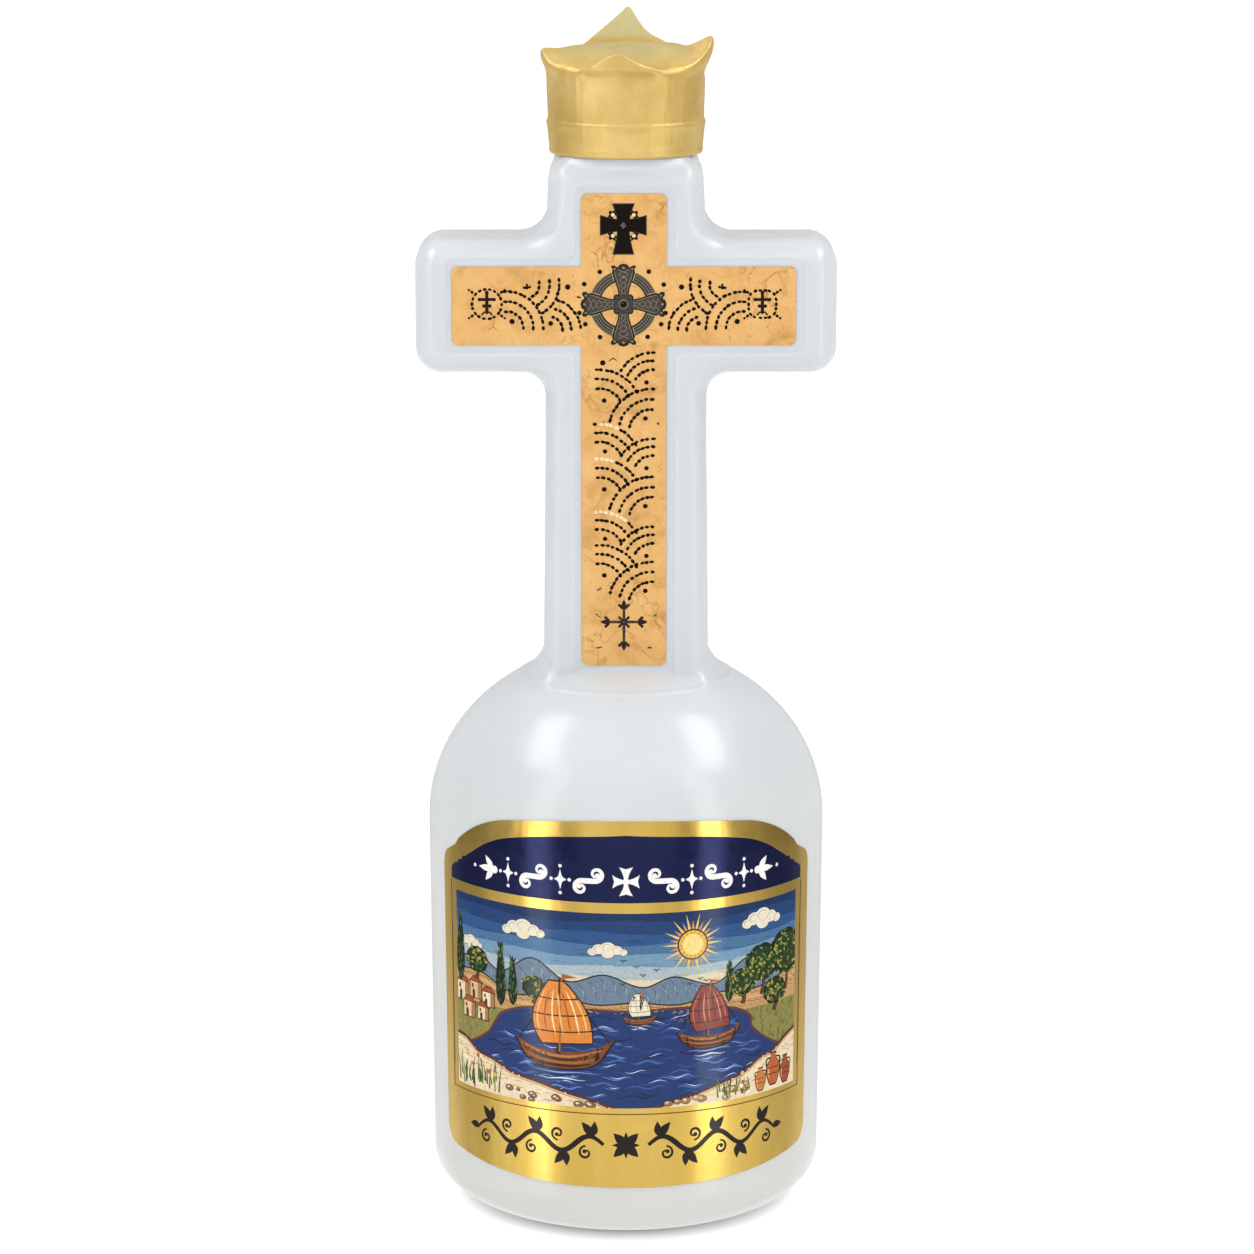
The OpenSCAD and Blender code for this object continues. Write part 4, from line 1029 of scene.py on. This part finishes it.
    # cream shores
    for pts in (
        [(-38, 37.4), (-34.5, 36.9), (-31.0, 35.0), (-26.8, 34.2), (-22.5, 32.6), (-17.0, 31.6), (-11.5, 30.2), (-6, 28.8), (-2, 27.2)],
        [(38, 38.4), (34.5, 37.2), (31.2, 35.4), (27.0, 34.4), (23.4, 32.4), (18.6, 31.2), (13.0, 29.6), (8.5, 28.4), (5.0, 27.2)],
    ):
        edge = curve(pts, 7)
        side = math.copysign(38, pts[0][0])
        ink.poly(np.concatenate([edge, [(side, 27)]]), rgb("#ead7b4"), 19)
        ink.stroke(edge, 0.55, rgb("#5d2f22"), 19.5)
        ink.stroke(edge - (0.0, 0.55), 0.3, rgb("#c9a173"), 19.6)
        for x, z in edge[3:-4:2]:
            for j in range(3):
                d = 1.0 + 1.3 * j + rng.uniform(0, 0.8)
                if z - d > 27.8:
                    q = x + math.copysign(rng.uniform(0.2, 1.6), side)
                    ink.stroke(curve([(q, z - d), (q + 0.8, z - d + 0.15), (q + rng.uniform(1.2, 2.4), z - d)], 3), 0.17, rgb(("#c79f70", "#b07f52", "#f6ead0")[j]), 19.8, (0.2, 1, 0.2))

    def boat(x, z, long, tall, sail, fold, level):
        hull = curve([(-0.52, 0.16), (-0.40, -0.03), (-0.2, -0.115), (0.1, -0.12), (0.36, -0.05), (0.54, 0.2)], 5)
        deck = curve([(0.54, 0.2), (0.3, 0.085), (0.0, 0.055), (-0.3, 0.075), (-0.52, 0.16)], 5)
        body = np.concatenate([hull, deck[1:-1]]) * long + (x, z)
        mid = body.mean(0)
        for k in range(5):
            zz = z - long * (0.13 + 0.035 * k)
            w = long * (0.40 - 0.05 * k)
            ink.stroke(np.stack([np.linspace(x - w, x + w, 16), zz + 0.14 * np.sin(np.linspace(0, 9, 16) + k)], 1), 0.3, rgb(("#0f1b3a", "#8fa3cf", "#1a2c5c", "#dbe3f2", "#42609f")[k]), level - 0.6 + 0.1 * k, (0.1, 1, 0.1))
        ink.poly((body - mid) * 1.05 + mid + (0, -0.05), line, level)
        ink.poly(body, rgb("#7d4727"), level + 0.3)
        for k, tone in enumerate(("#b97a3f", "#4a2615", "#a3642f", "#3a1d10")):
            row = curve([(-0.46 + 0.03 * k, 0.105 - 0.05 * k), (-0.2, 0.02 - 0.035 * k), (0.1, 0.008 - 0.034 * k), (0.42 - 0.04 * k, 0.09 - 0.05 * k)], 5) * long + (x, z)
            ink.stroke(row, 0.028 * long, rgb(tone), level + 0.6, (0.4, 1, 1, 0.4))
        ink.stroke([(x - 0.04 * long, z + 0.03 * long), (x - 0.01 * long, z + tall)], 0.045 * long, line, level + 0.8)
        ink.stroke([(x - 0.03 * long, z + 0.05 * long), (x, z + tall)], 0.022 * long, rgb("#9a6a3a"), level + 1)
        t = np.linspace(0, 1, 16)
        left = np.stack([x - 0.02 * long - 0.38 * long * np.sin(np.pi * t * 0.62 + 0.55) * (1 - 0.45 * t), z + tall * (0.16 + 0.8 * t)], 1)
        right = np.stack([x + 0.30 * long * (1 - t) ** 0.8 + 0.07 * long * np.sin(np.pi * t) + 0.02 * long, z + tall * (0.2 + 0.76 * t)], 1)
        cloth = np.concatenate([left, right[::-1]])
        mid = cloth.mean(0)
        ink.poly((cloth - mid) * 1.045 + mid, line, level + 1.2)
        ink.poly(cloth, rgb(sail), level + 1.5)
        for k in range(7):
            u = 0.08 + 0.14 * k
            row = left * (1 - u) + right * u
            ink.stroke(row[2:14], 0.022 * long, rgb(fold[k % len(fold)]), level + 1.8, (0.1, 1, 0.7, 1, 0.1))
        for k in (3, 7, 11):
            seam = np.stack([np.linspace(left[k, 0], right[k, 0], 8), np.linspace(left[k, 1], right[k, 1], 8) - 0.02 * tall * np.sin(np.linspace(0, np.pi, 8))], 1)
            ink.stroke(seam, 0.014 * long, line, level + 2.1)
        ink.stroke([(x + 0.5 * long, z + 0.17 * long), (x, z + tall * 0.98)], 0.012 * long, line, level + 0.9)
        ink.stroke([(x - 0.5 * long, z + 0.14 * long), (x, z + tall * 0.98)], 0.012 * long, line, level + 0.9)
        ink.poly([(x, z + tall), (x + 0.16 * long, z + tall * 1.03), (x, z + tall * 1.06)], rgb("#b4532f"), level + 1)

    boat(2.5, 44.4, 6.2, 5.4, "#eadfc2", ("#b9a684", "#fbf4e2"), 20)
    boat(16.0, 40.0, 12.5, 10.8, "#8a3f36", ("#c4705a", "#5c231f", "#d98f72"), 21)
    boat(-12.0, 37.0, 18.0, 15.0, "#de8739", ("#f3b873", "#b35c20", "#f9d7a4"), 22)
    # jars, reeds and stones in front
    for x, z, k, tone in ((31.0, 28.6, 1.0, "#b9622f"), (34.6, 28.2, 0.85, "#9c4a2a"), (27.6, 28.0, 0.72, "#c97a3c")):
        half = curve([(0.7, 0), (1.1, 0.5), (1.75, 2.2), (1.7, 3.6), (0.9, 4.7), (0.62, 5.3), (0.9, 6.0)], 4) * k
        p = np.concatenate([half, (half * [-1, 1])[::-1]]) + (x, z)
        mid = p.mean(0)
        ink.poly((p - mid) * 1.09 + mid, line, 24)
        ink.poly(p, rgb(tone), 24.5)
        for s in (-1, 1):
            ink.stroke(curve([(0.75 * s, 5.2), (1.9 * s, 4.9), (1.75 * s, 3.5)], 5) * k + (x, z), 0.3 * k, line, 24.7)
        ink.stroke(curve([(-1.0, 1.0), (-1.3, 2.4), (-1.1, 3.6)], 5) * k + (x, z), 0.4 * k, rgb("#eeb277"), 25, (0.2, 1, 0.2))
        for zz in (2.0, 3.2):
            ink.stroke(np.stack([np.linspace(-1.5, 1.5, 9), zz + 0.14 * np.cos(np.linspace(0, 12, 9))], 1) * k + (x, z), 0.2 * k, rgb("#5c2413"), 25.2)
    for k in range(46):
        x = rng.uniform(-37, -25.5) if k < 30 else rng.uniform(17.5, 25)
        z, h = rng.uniform(27.6, 30.2), rng.uniform(2.2, 5.4) * (1 if k < 30 else 0.6)
        lean = rng.uniform(-0.9, 0.9)
        tone = ("#3f5a28", "#5d7434", "#2b4320", "#8a8b3f")[rng.integers(0, 4)]
        ink.stroke(curve([(x, z), (x + 0.3 * lean, z + 0.5 * h), (x + lean, z + h)], 5), 0.36, rgb(tone), 24 + 0.2 * (k % 5), (1, 0.8, 0.15))
        if k % 4 == 0:
            ink.disc(x + lean, z + h, 0.42, rgb(("#c9502d", "#e3b34a", "#efe3c6")[k % 3]), 26, n=9)
    for k in range(26):
        side = -1 if k % 2 else 1
        x = side * rng.uniform(6, 24)
        z = 27.9 + rng.uniform(0, 1.9) * (abs(x) - 5) / 14
        r = rng.uniform(0.35, 0.95)
        ink.disc(x, z, r + 0.12, line, 22.6, 0.62 * r + 0.12, 12)
        ink.disc(x, z, r, rgb(("#a57a50", "#8a5f3d", "#c9a57a", "#7b6a58")[k % 4]), 23, 0.62 * r, 12)
        ink.disc(x - 0.25 * r, z + 0.2 * r, 0.4 * r, rgb("#e9d5ae"), 23.4, 0.22 * r, 9)
    for k in range(9):
        a = rng.uniform(0, 360)
        x, z = rng.uniform(-6, 26), rng.uniform(50.5, 56)
        ink.stroke(curve([(x - 0.7, z + 0.25), (x - 0.3, z + 0.38), (x, z), (x + 0.3, z + 0.38), (x + 0.7, z + 0.25)], 3), 0.15, line, 11.2, (0.2, 1, 0.8, 1, 0.2))
    return ink.items


def label_prints():
    ink = Ink()
    navy = rgb("#131b4c")
    top = curve([(0, 79.7), (14, 78.9), (23, 77.6), (28, 75.9), (32.3, 73.4), (34.4, 72.1)], 8)
    end = np.array([(35.1, 72.1), (35.5, 71.3), (36.5, 71.1), (37.1, 70.4), (38.2, 70.0), (39.2, 69.2), (39.2, 67.0)])
    half = np.concatenate([top, end])
    ink.poly(np.concatenate([half[::-1], (half * [-1, 1])[1:]]), navy, 1)
    banner_ornament(ink, rgb("#f4f2ee"), 3)
    dark = rgb("#1d140c")
    for s in (-1, 1):
        ink.poly([(s * 39.2, 26.2), (s * 39.45, 26.2), (s * 39.45, 66.6), (s * 39.2, 66.6)], rgb("#2a1c0f"), 1)
        ink.poly([(s * 39.0, 30.5), (s * 39.2, 30.5), (s * 39.2, 58), (s * 39.0, 58)], rgb("#7d5a22"), 1)
    ink.poly([(-39.2, 26.2), (39.2, 26.2), (39.2, 26.42), (-39.2, 26.42)], rgb("#6b4a1c"), 1)
    vine_ornament(ink, dark, 1)
    return ink.items


# ---------------------------------------------------------------- material helpers
class Mat:
    """A node material with a Principled shader and small helpers."""

    def __init__(self, name, **sockets):
        self.m = bpy.data.materials.new(name)
        self.m.use_nodes = True
        self.nt = self.m.node_tree
        self.p = self.nt.nodes["Principled BSDF"]
        for k, v in sockets.items():
            self.p.inputs[k.replace("_", " ")].default_value = v
        self.obj = self.nt.nodes.new("ShaderNodeTexCoord").outputs["Object"]

    def node(self, kind, **props):
        n = self.nt.nodes.new(kind)
        for k, v in props.items():
            setattr(n, k, v)
        return n

    def link(self, a, b):
        self.nt.links.new(a, b)

    def scaled(self, sx, sy, sz):
        n = self.node("ShaderNodeMapping")
        n.inputs["Scale"].default_value = (sx, sy, sz)
        self.link(self.obj, n.inputs["Vector"])
        return n.outputs["Vector"]

    def noise(self, scale, detail=3.0, rough=0.5, distortion=0.0, vector=None):
        n = self.node("ShaderNodeTexNoise")
        n.inputs["Scale"].default_value = scale
        n.inputs["Detail"].default_value = detail
        n.inputs["Roughness"].default_value = rough
        n.inputs["Distortion"].default_value = distortion
        self.link(vector if vector is not None else self.obj, n.inputs["Vector"])
        return n.outputs["Fac"]

    def ramp(self, fac, *stops):
        n = self.node("ShaderNodeValToRGB")
        el = n.color_ramp.elements
        while len(el) < len(stops):
            el.new(0.5)
        for e, (pos, col) in zip(el, stops):
            e.position = pos
            e.color = (*col, 1) if len(col) == 3 else col
        self.link(fac, n.inputs["Fac"])
        return n.outputs["Color"]

    def range(self, value, a, b, c, d):
        n = self.node("ShaderNodeMapRange")
        for k, v in zip(("From Min", "From Max", "To Min", "To Max"), (a, b, c, d)):
            n.inputs[k].default_value = v
        self.link(value, n.inputs["Value"])
        return n.outputs["Result"]

    def math(self, op, a, b=None):
        n = self.node("ShaderNodeMath", operation=op)
        for s, v in zip(n.inputs, (a, b)):
            if v is None:
                continue
            if isinstance(v, (int, float)):
                s.default_value = v
            else:
                self.link(v, s)
        return n.outputs["Value"]

    def mix(self, fac, a, b, blend="MIX"):
        n = self.node("ShaderNodeMix", data_type="RGBA", blend_type=blend)
        for s, v in ((n.inputs[0], fac), (n.inputs[6], a), (n.inputs[7], b)):
            if isinstance(v, (int, float)):
                s.default_value = v
            elif isinstance(v, tuple):
                s.default_value = (*v, 1)
            else:
                self.link(v, s)
        return n.outputs[2]

    def bump(self, height, distance, strength=1.0, normal=None):
        n = self.node("ShaderNodeBump")
        n.inputs["Strength"].default_value = strength
        n.inputs["Distance"].default_value = distance
        self.link(height, n.inputs["Height"])
        if normal is not None:
            self.link(normal, n.inputs["Normal"])
        return n.outputs["Normal"]

    def to(self, socket, value):
        self.link(value, self.p.inputs[socket])
        return self


def bottle_plastic():
    m = Mat("bottle_plastic", IOR=1.5, Subsurface_Weight=0.6, Subsurface_Scale=0.002)
    m.p.inputs["Subsurface Radius"].default_value = (1.0, 1.0, 1.0)
    cloud = m.noise(28, 4, 0.55)
    cool = m.ramp(cloud, (0.3, (0.578, 0.606, 0.630)), (0.7, (0.610, 0.636, 0.656)))
    warm = m.ramp(cloud, (0.3, (0.610, 0.615, 0.594)), (0.7, (0.643, 0.645, 0.624)))
    pos = m.node("ShaderNodeSeparateXYZ")
    m.link(m.obj, pos.inputs[0])
    m.to("Base Color", m.mix(m.range(pos.outputs["Z"], 0.035, 0.105, 0, 1), warm, cool))
    m.to("Roughness", m.range(m.noise(700, 3, 0.6), 0.0, 1.0, 0.19, 0.24))
    m.to("Normal", m.bump(m.noise(1, 4, 0.55, vector=m.scaled(70, 70, 70)), 0.00022, 0.5))
    return m.m


def crown_gold():
    m = Mat("crown_gold", Metallic=0.46, Anisotropic=0.8)
    round_about = m.node("ShaderNodeTangent")
    round_about.direction_type, round_about.axis = "RADIAL", "Z"
    m.to("Tangent", round_about.outputs["Tangent"])
    blotch = m.noise(90, 4, 0.6)
    base = m.ramp(blotch, (0.33, (0.575, 0.380, 0.104)), (0.51, (0.645, 0.440, 0.132)), (0.70, (0.740, 0.536, 0.188)))
    pos = m.node("ShaderNodeSeparateXYZ")
    m.link(m.obj, pos.inputs[0])
    far = m.math("SQRT", m.math("ADD", m.math("MULTIPLY", pos.outputs["X"], pos.outputs["X"]), m.math("MULTIPLY", pos.outputs["Y"], pos.outputs["Y"])))
    lid = m.math("MULTIPLY", m.range(far, 0.0118, 0.0132, 1, 0), m.range(pos.outputs["Z"], 0.2160, 0.2168, 0, 1))
    base = m.mix(lid, base, m.ramp(blotch, (0.3, (0.540, 0.402, 0.126)), (0.7, (0.62, 0.474, 0.162))))
    thin = m.math("MULTIPLY", m.range(pos.outputs["Y"], 0.0085, 0.0115, 0, 1), m.range(pos.outputs["Z"], 0.2208, 0.2220, 0, 1))
    m.to("Base Color", m.mix(thin, base, (0.63, 0.55, 0.27)))
    flake = m.noise(1500, 2, 0.6)
    m.to("Roughness", m.range(flake, 0.3, 0.7, 0.31, 0.40))
    fine = m.bump(flake, 0.00002, 0.5)
    brushed = m.bump(m.noise(1, 3, 0.6, vector=m.scaled(80, 80, 900)), 0.00009, 0.5, fine)
    m.to("Normal", m.bump(m.noise(1, 4, 0.6, vector=m.scaled(520, 520, 90)), 0.00022, 0.65, brushed))
    return m.m


def sticker_paper():
    m = Mat("sticker_paper", Specular_IOR_Level=0.2)
    cloud = m.noise(170, 6, 0.62, 0.4)
    base = m.ramp(cloud, (0.25, (0.555, 0.297, 0.088)), (0.48, (0.680, 0.385, 0.130)), (0.75, (0.740, 0.455, 0.180)))
    crease = m.math("ABSOLUTE", m.math("SUBTRACT", m.noise(120, 5, 0.55, 0.9), 0.5))
    vein = m.math("MULTIPLY", m.range(crease, 0.0, 0.014, 1, 0), m.range(m.noise(60, 2), 0.38, 0.55, 0.15, 0.85))
    blot = m.range(m.noise(230, 5, 0.62, 0.6), 0.54, 0.72, 0, 0.65)
    m.to("Base Color", m.mix(m.math("MAXIMUM", vein, blot), base, (0.40, 0.185, 0.045)))
    m.to("Roughness", m.range(m.noise(600, 3), 0.3, 0.7, 0.48, 0.60))
    m.to("Normal", m.bump(m.noise(900, 3, 0.6), 0.00003, 0.4))
    return m.m


def label_foil():
    m = Mat("label_foil", Metallic=1.0)
    wave = m.noise(1, 3, 0.5, vector=m.scaled(120, 120, 16))
    m.to("Base Color", m.ramp(wave, (0.3, (0.74, 0.475, 0.095)), (0.7, (0.86, 0.60, 0.16))))
    m.to("Roughness", m.range(m.noise(400, 3), 0.3, 0.7, 0.20, 0.26))
    m.to("Normal", m.bump(wave, 0.0005, 0.3))
    return m.m


def printed(name, rough, level, grain):
    """Ink that takes its colour from the print, with a fine grain."""
    m = Mat(name, Specular_IOR_Level=level)
    ink = m.node("ShaderNodeVertexColor", layer_name="ink").outputs["Color"]
    speck = m.ramp(m.noise(grain, 3, 0.6), (0.32, (0.80, 0.80, 0.80)), (0.68, (1.0, 1.0, 1.0)))
    m.to("Base Color", m.mix(1.0, ink, speck, "MULTIPLY"))
    m.to("Roughness", m.range(m.noise(420, 3), 0.3, 0.7, rough - 0.05, rough + 0.05))
    m.to("Normal", m.bump(m.noise(1, 3, 0.5, vector=m.scaled(120, 120, 16)), 0.0003, 0.3))
    return m.m


def moulded_white(name, low, high, rough):
    m = Mat(name)
    m.to("Base Color", m.ramp(m.noise(180, 4, 0.6), (0.3, low), (0.7, high)))
    m.to("Roughness", m.range(m.noise(700, 2), 0.3, 0.7, rough - 0.06, rough + 0.06))
    m.to("Normal", m.bump(m.noise(1600, 2), 0.00004, 0.4))
    return m.m


def stage_glow_painted_shadow():
    m = Mat("stage_glow_painted_shadow")
    m.p.inputs["Base Color"].default_value = (0.55, 0.55, 0.55, 1)
    m.p.inputs["Roughness"].default_value = 0.9
    m.p.inputs["Specular IOR Level"].default_value = 0.0
    m.p.inputs["Emission Color"].default_value = (1, 1, 1, 1)
    # The floor glows by emission, which is painted light. The glow is dimmed close round the foot of the bottle as a
    # painted contact shadow, is a little stronger in a narrow ring just outside it, and rises towards the far floor as
    # painted light that keeps the far floor white.
    far = m.node("ShaderNodeVectorMath", operation="LENGTH")
    m.link(m.obj, far.inputs[0])
    edge = m.math("SUBTRACT", m.range(far.outputs["Value"], 0.0246, 0.0328, 0.03, 0.60), m.range(far.outputs["Value"], 0.034, 0.046, 0.0, 0.08))
    m.to("Emission Strength", m.math("ADD", edge, m.range(far.outputs["Value"], 0.06, 1.0, 0.0, 0.24)))
    return m.m


# ---------------------------------------------------------------- pieces
pts, faces, normals = bottle_mesh()
bottle = add_piece("bottle_shell_visual", pts, faces, bottle_plastic(), "bottle", ("bottle_shell",), normals)
pts, faces = crown_mesh()
crown = add_piece("crown_visual", pts, faces, crown_gold(), "cap", ("crown_cover",))

round_cuts = np.arange(-42.0, 42.1, 1.2) + 0.0137
shoulder_cuts = np.concatenate([[Z_EQ], np.arange(75.5, 82.2, 1.15)])
sticker = print_mesh("cross_sticker", [(sticker_outline(), (1, 1, 1), 0)], on_sticker, -0.14, 0.0, 0.0, (sticker_paper(), "bottle", "sticker_paper"), smooth=False)
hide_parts("cross_label")
print_mesh("cross_sticker_print", sticker_prints(), on_sticker, -0.02, 0.012, 0.005, (printed("sticker_ink", 0.5, 0.08, 2200), "bottle", "sticker_paper"), smooth=False)
label = print_mesh("foil_label", [(label_outline(), (1, 1, 1), 0)], on_body, 0.0, LABEL_T, 0.0, (label_foil(), "bottle", "label_foil"), round_cuts, shoulder_cuts)
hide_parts("body_label")
label_ink = printed("label_ink", 0.20, 0.28, 1800)
banner_ink = printed("banner_ink", 0.20, 0.6, 1800)
banner_ink.node_tree.nodes["Principled BSDF"].inputs["Metallic"].default_value = 0.65
prints = label_prints()
print_mesh("foil_label_banner", prints[:1], on_body, LABEL_T - 0.01, LABEL_T, 0.006, (banner_ink, "bottle", "label_foil"), round_cuts, shoulder_cuts)
print_mesh("foil_label_print", prints[1:], on_body, LABEL_T - 0.01, LABEL_T, 0.006, (label_ink, "bottle", "label_foil"), round_cuts, shoulder_cuts)
print_mesh("foil_label_picture", lake_picture(), on_body, LABEL_T - 0.01, LABEL_T + 0.006, 0.004, (label_ink, "bottle", "label_foil"), round_cuts)

for node, mat in (
    ("inner_cap", moulded_white("cap_plastic", (0.78, 0.77, 0.71), (0.87, 0.86, 0.80), 0.42)),
    ("cap_liner", moulded_white("liner_foam", (0.80, 0.80, 0.76), (0.90, 0.90, 0.86), 0.7)),
):
    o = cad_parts[node]
    o.data.materials.clear()
    o.data.materials.append(mat)

# ---------------------------------------------------------------- stage, light and camera
floor_me = bpy.data.meshes.new("stage_floor")
floor_me.from_pydata([(-14, -14, 0), (14, -14, 0), (14, 14, 0), (-14, 14, 0)], [], [(0, 1, 2, 3)])
floor_me.materials.append(stage_glow_painted_shadow())
floor = bpy.data.objects.new("stage_floor", floor_me)
scene.collection.objects.link(floor)


def soft_light(name, at, aim, w, h, radiance, along=None):
    """A soft box of that size in metres, facing a point, with that brightness; its width lies along a direction."""
    data = bpy.data.lights.new(name, "AREA")
    data.shape, data.size, data.size_y = "RECTANGLE", w, h
    data.energy = radiance * math.pi * w * h
    obj = bpy.data.objects.new(name, data)
    scene.collection.objects.link(obj)
    back = (Vector(at) - Vector(aim)).normalized()
    side = Vector(along) if along else Vector((-back.y, back.x, 0))
    side = (side - back * side.dot(back)).normalized()
    obj.location = at
    obj.rotation_euler = Matrix((side, back.cross(side), back)).transposed().to_euler()
    return obj


for name, side in (("left", -1), ("right", 1)):
    soft_light("strip_" + name, (0.775 * side, -0.632, 0.30) if side < 0 else (0.762, -0.648, 0.30), (0, 0, 0.14), 0.28, 1.5, 2.4)
    soft_light("top_" + name, (0.68 * side, -0.09, 1.0), (0, 0, 0.10), 0.70, 0.34, 5.2, (0.63 * side, -0.77, 0))
soft_light("front_fill", (0, -2.3, 0.5), (0, 0, 0.12), 2.6, 2.2, 0.50)
sun = bpy.data.lights.new("top_light", "SUN")
sun.energy, sun.angle = 1.1, math.radians(100)
scene.collection.objects.link(bpy.data.objects.new("top_light", sun))
floor.visible_glossy = False

# a room with a white wall behind and darker sides; below, gloss sees the white table
world = bpy.data.worlds.new("studio")
scene.world = world
world.use_nodes = True
wt = world.node_tree
look = wt.nodes.new("ShaderNodeTexCoord")
axes = wt.nodes.new("ShaderNodeSeparateXYZ")
wt.links.new(look.outputs["Generated"], axes.inputs[0])


def world_range(axis, a, b, c, d):
    n = wt.nodes.new("ShaderNodeMapRange")
    for k, v in zip(("From Min", "From Max", "To Min", "To Max"), (a, b, c, d)):
        n.inputs[k].default_value = v
    wt.links.new(axes.outputs[axis], n.inputs["Value"])
    return n.outputs["Result"]


def world_math(operation, *values):
    n = wt.nodes.new("ShaderNodeMath")
    n.operation = operation
    for socket, v in zip(n.inputs, values):
        wt.links.new(v, socket)
    return n.outputs["Value"]


def world_ramp(axis, low, high, *stops):
    n = wt.nodes.new("ShaderNodeValToRGB")
    while len(n.color_ramp.elements) < len(stops):
        n.color_ramp.elements.new(0.5)
    for e, (at, v) in zip(n.color_ramp.elements, stops):
        e.position, e.color = (at - low) / (high - low), (v, v, v, 1)
    wt.links.new(world_range(axis, low, high, 0, 1), n.inputs["Fac"])
    return n.outputs["Color"]


# close in front the table is bright, further off it is dim; the sides are dim above it
near_table = world_ramp("Z", -0.6, 0.4, (-0.6, 0.60), (-0.44, 0.62), (-0.345, 0.76), (-0.325, 0.66), (-0.305, 0.32), (-0.28, 0.22), (0.4, 0.20))
front = world_math("MULTIPLY", world_range("Y", -0.25, 0.1, 1, 0), world_ramp("Z", -0.6, 0.4, (-0.6, 0.1), (-0.44, 0.22), (-0.335, 0.50), (-0.305, 0.50), (-0.285, 0.36), (-0.22, 0.12), (0.05, 0.18), (0.4, 0.16)))
back = world_range("Y", 0.4, 0.8, 0, 0.45)
wall = world_math("ADD", world_math("ADD", front, near_table), back)
wt.links.new(wall, wt.nodes["Background"].inputs["Strength"])
wt.nodes["Background"].inputs["Color"].default_value = (1, 1, 1, 1)

cam_data = bpy.data.cameras.new("camera")
cam_data.sensor_width = 36
cam_data.lens = 129.02
cam_data.shift_x = 0.0008
cam_data.clip_start, cam_data.clip_end = 0.05, 60
cam = bpy.data.objects.new("camera", cam_data)
scene.collection.objects.link(cam)
cam.location = (0, -0.836, 0.285)
cam.rotation_euler = (math.radians(90 - 11.755), 0, 0)
scene.camera = cam
scene.view_settings.view_transform = "Standard"
scene.view_settings.look = "None"
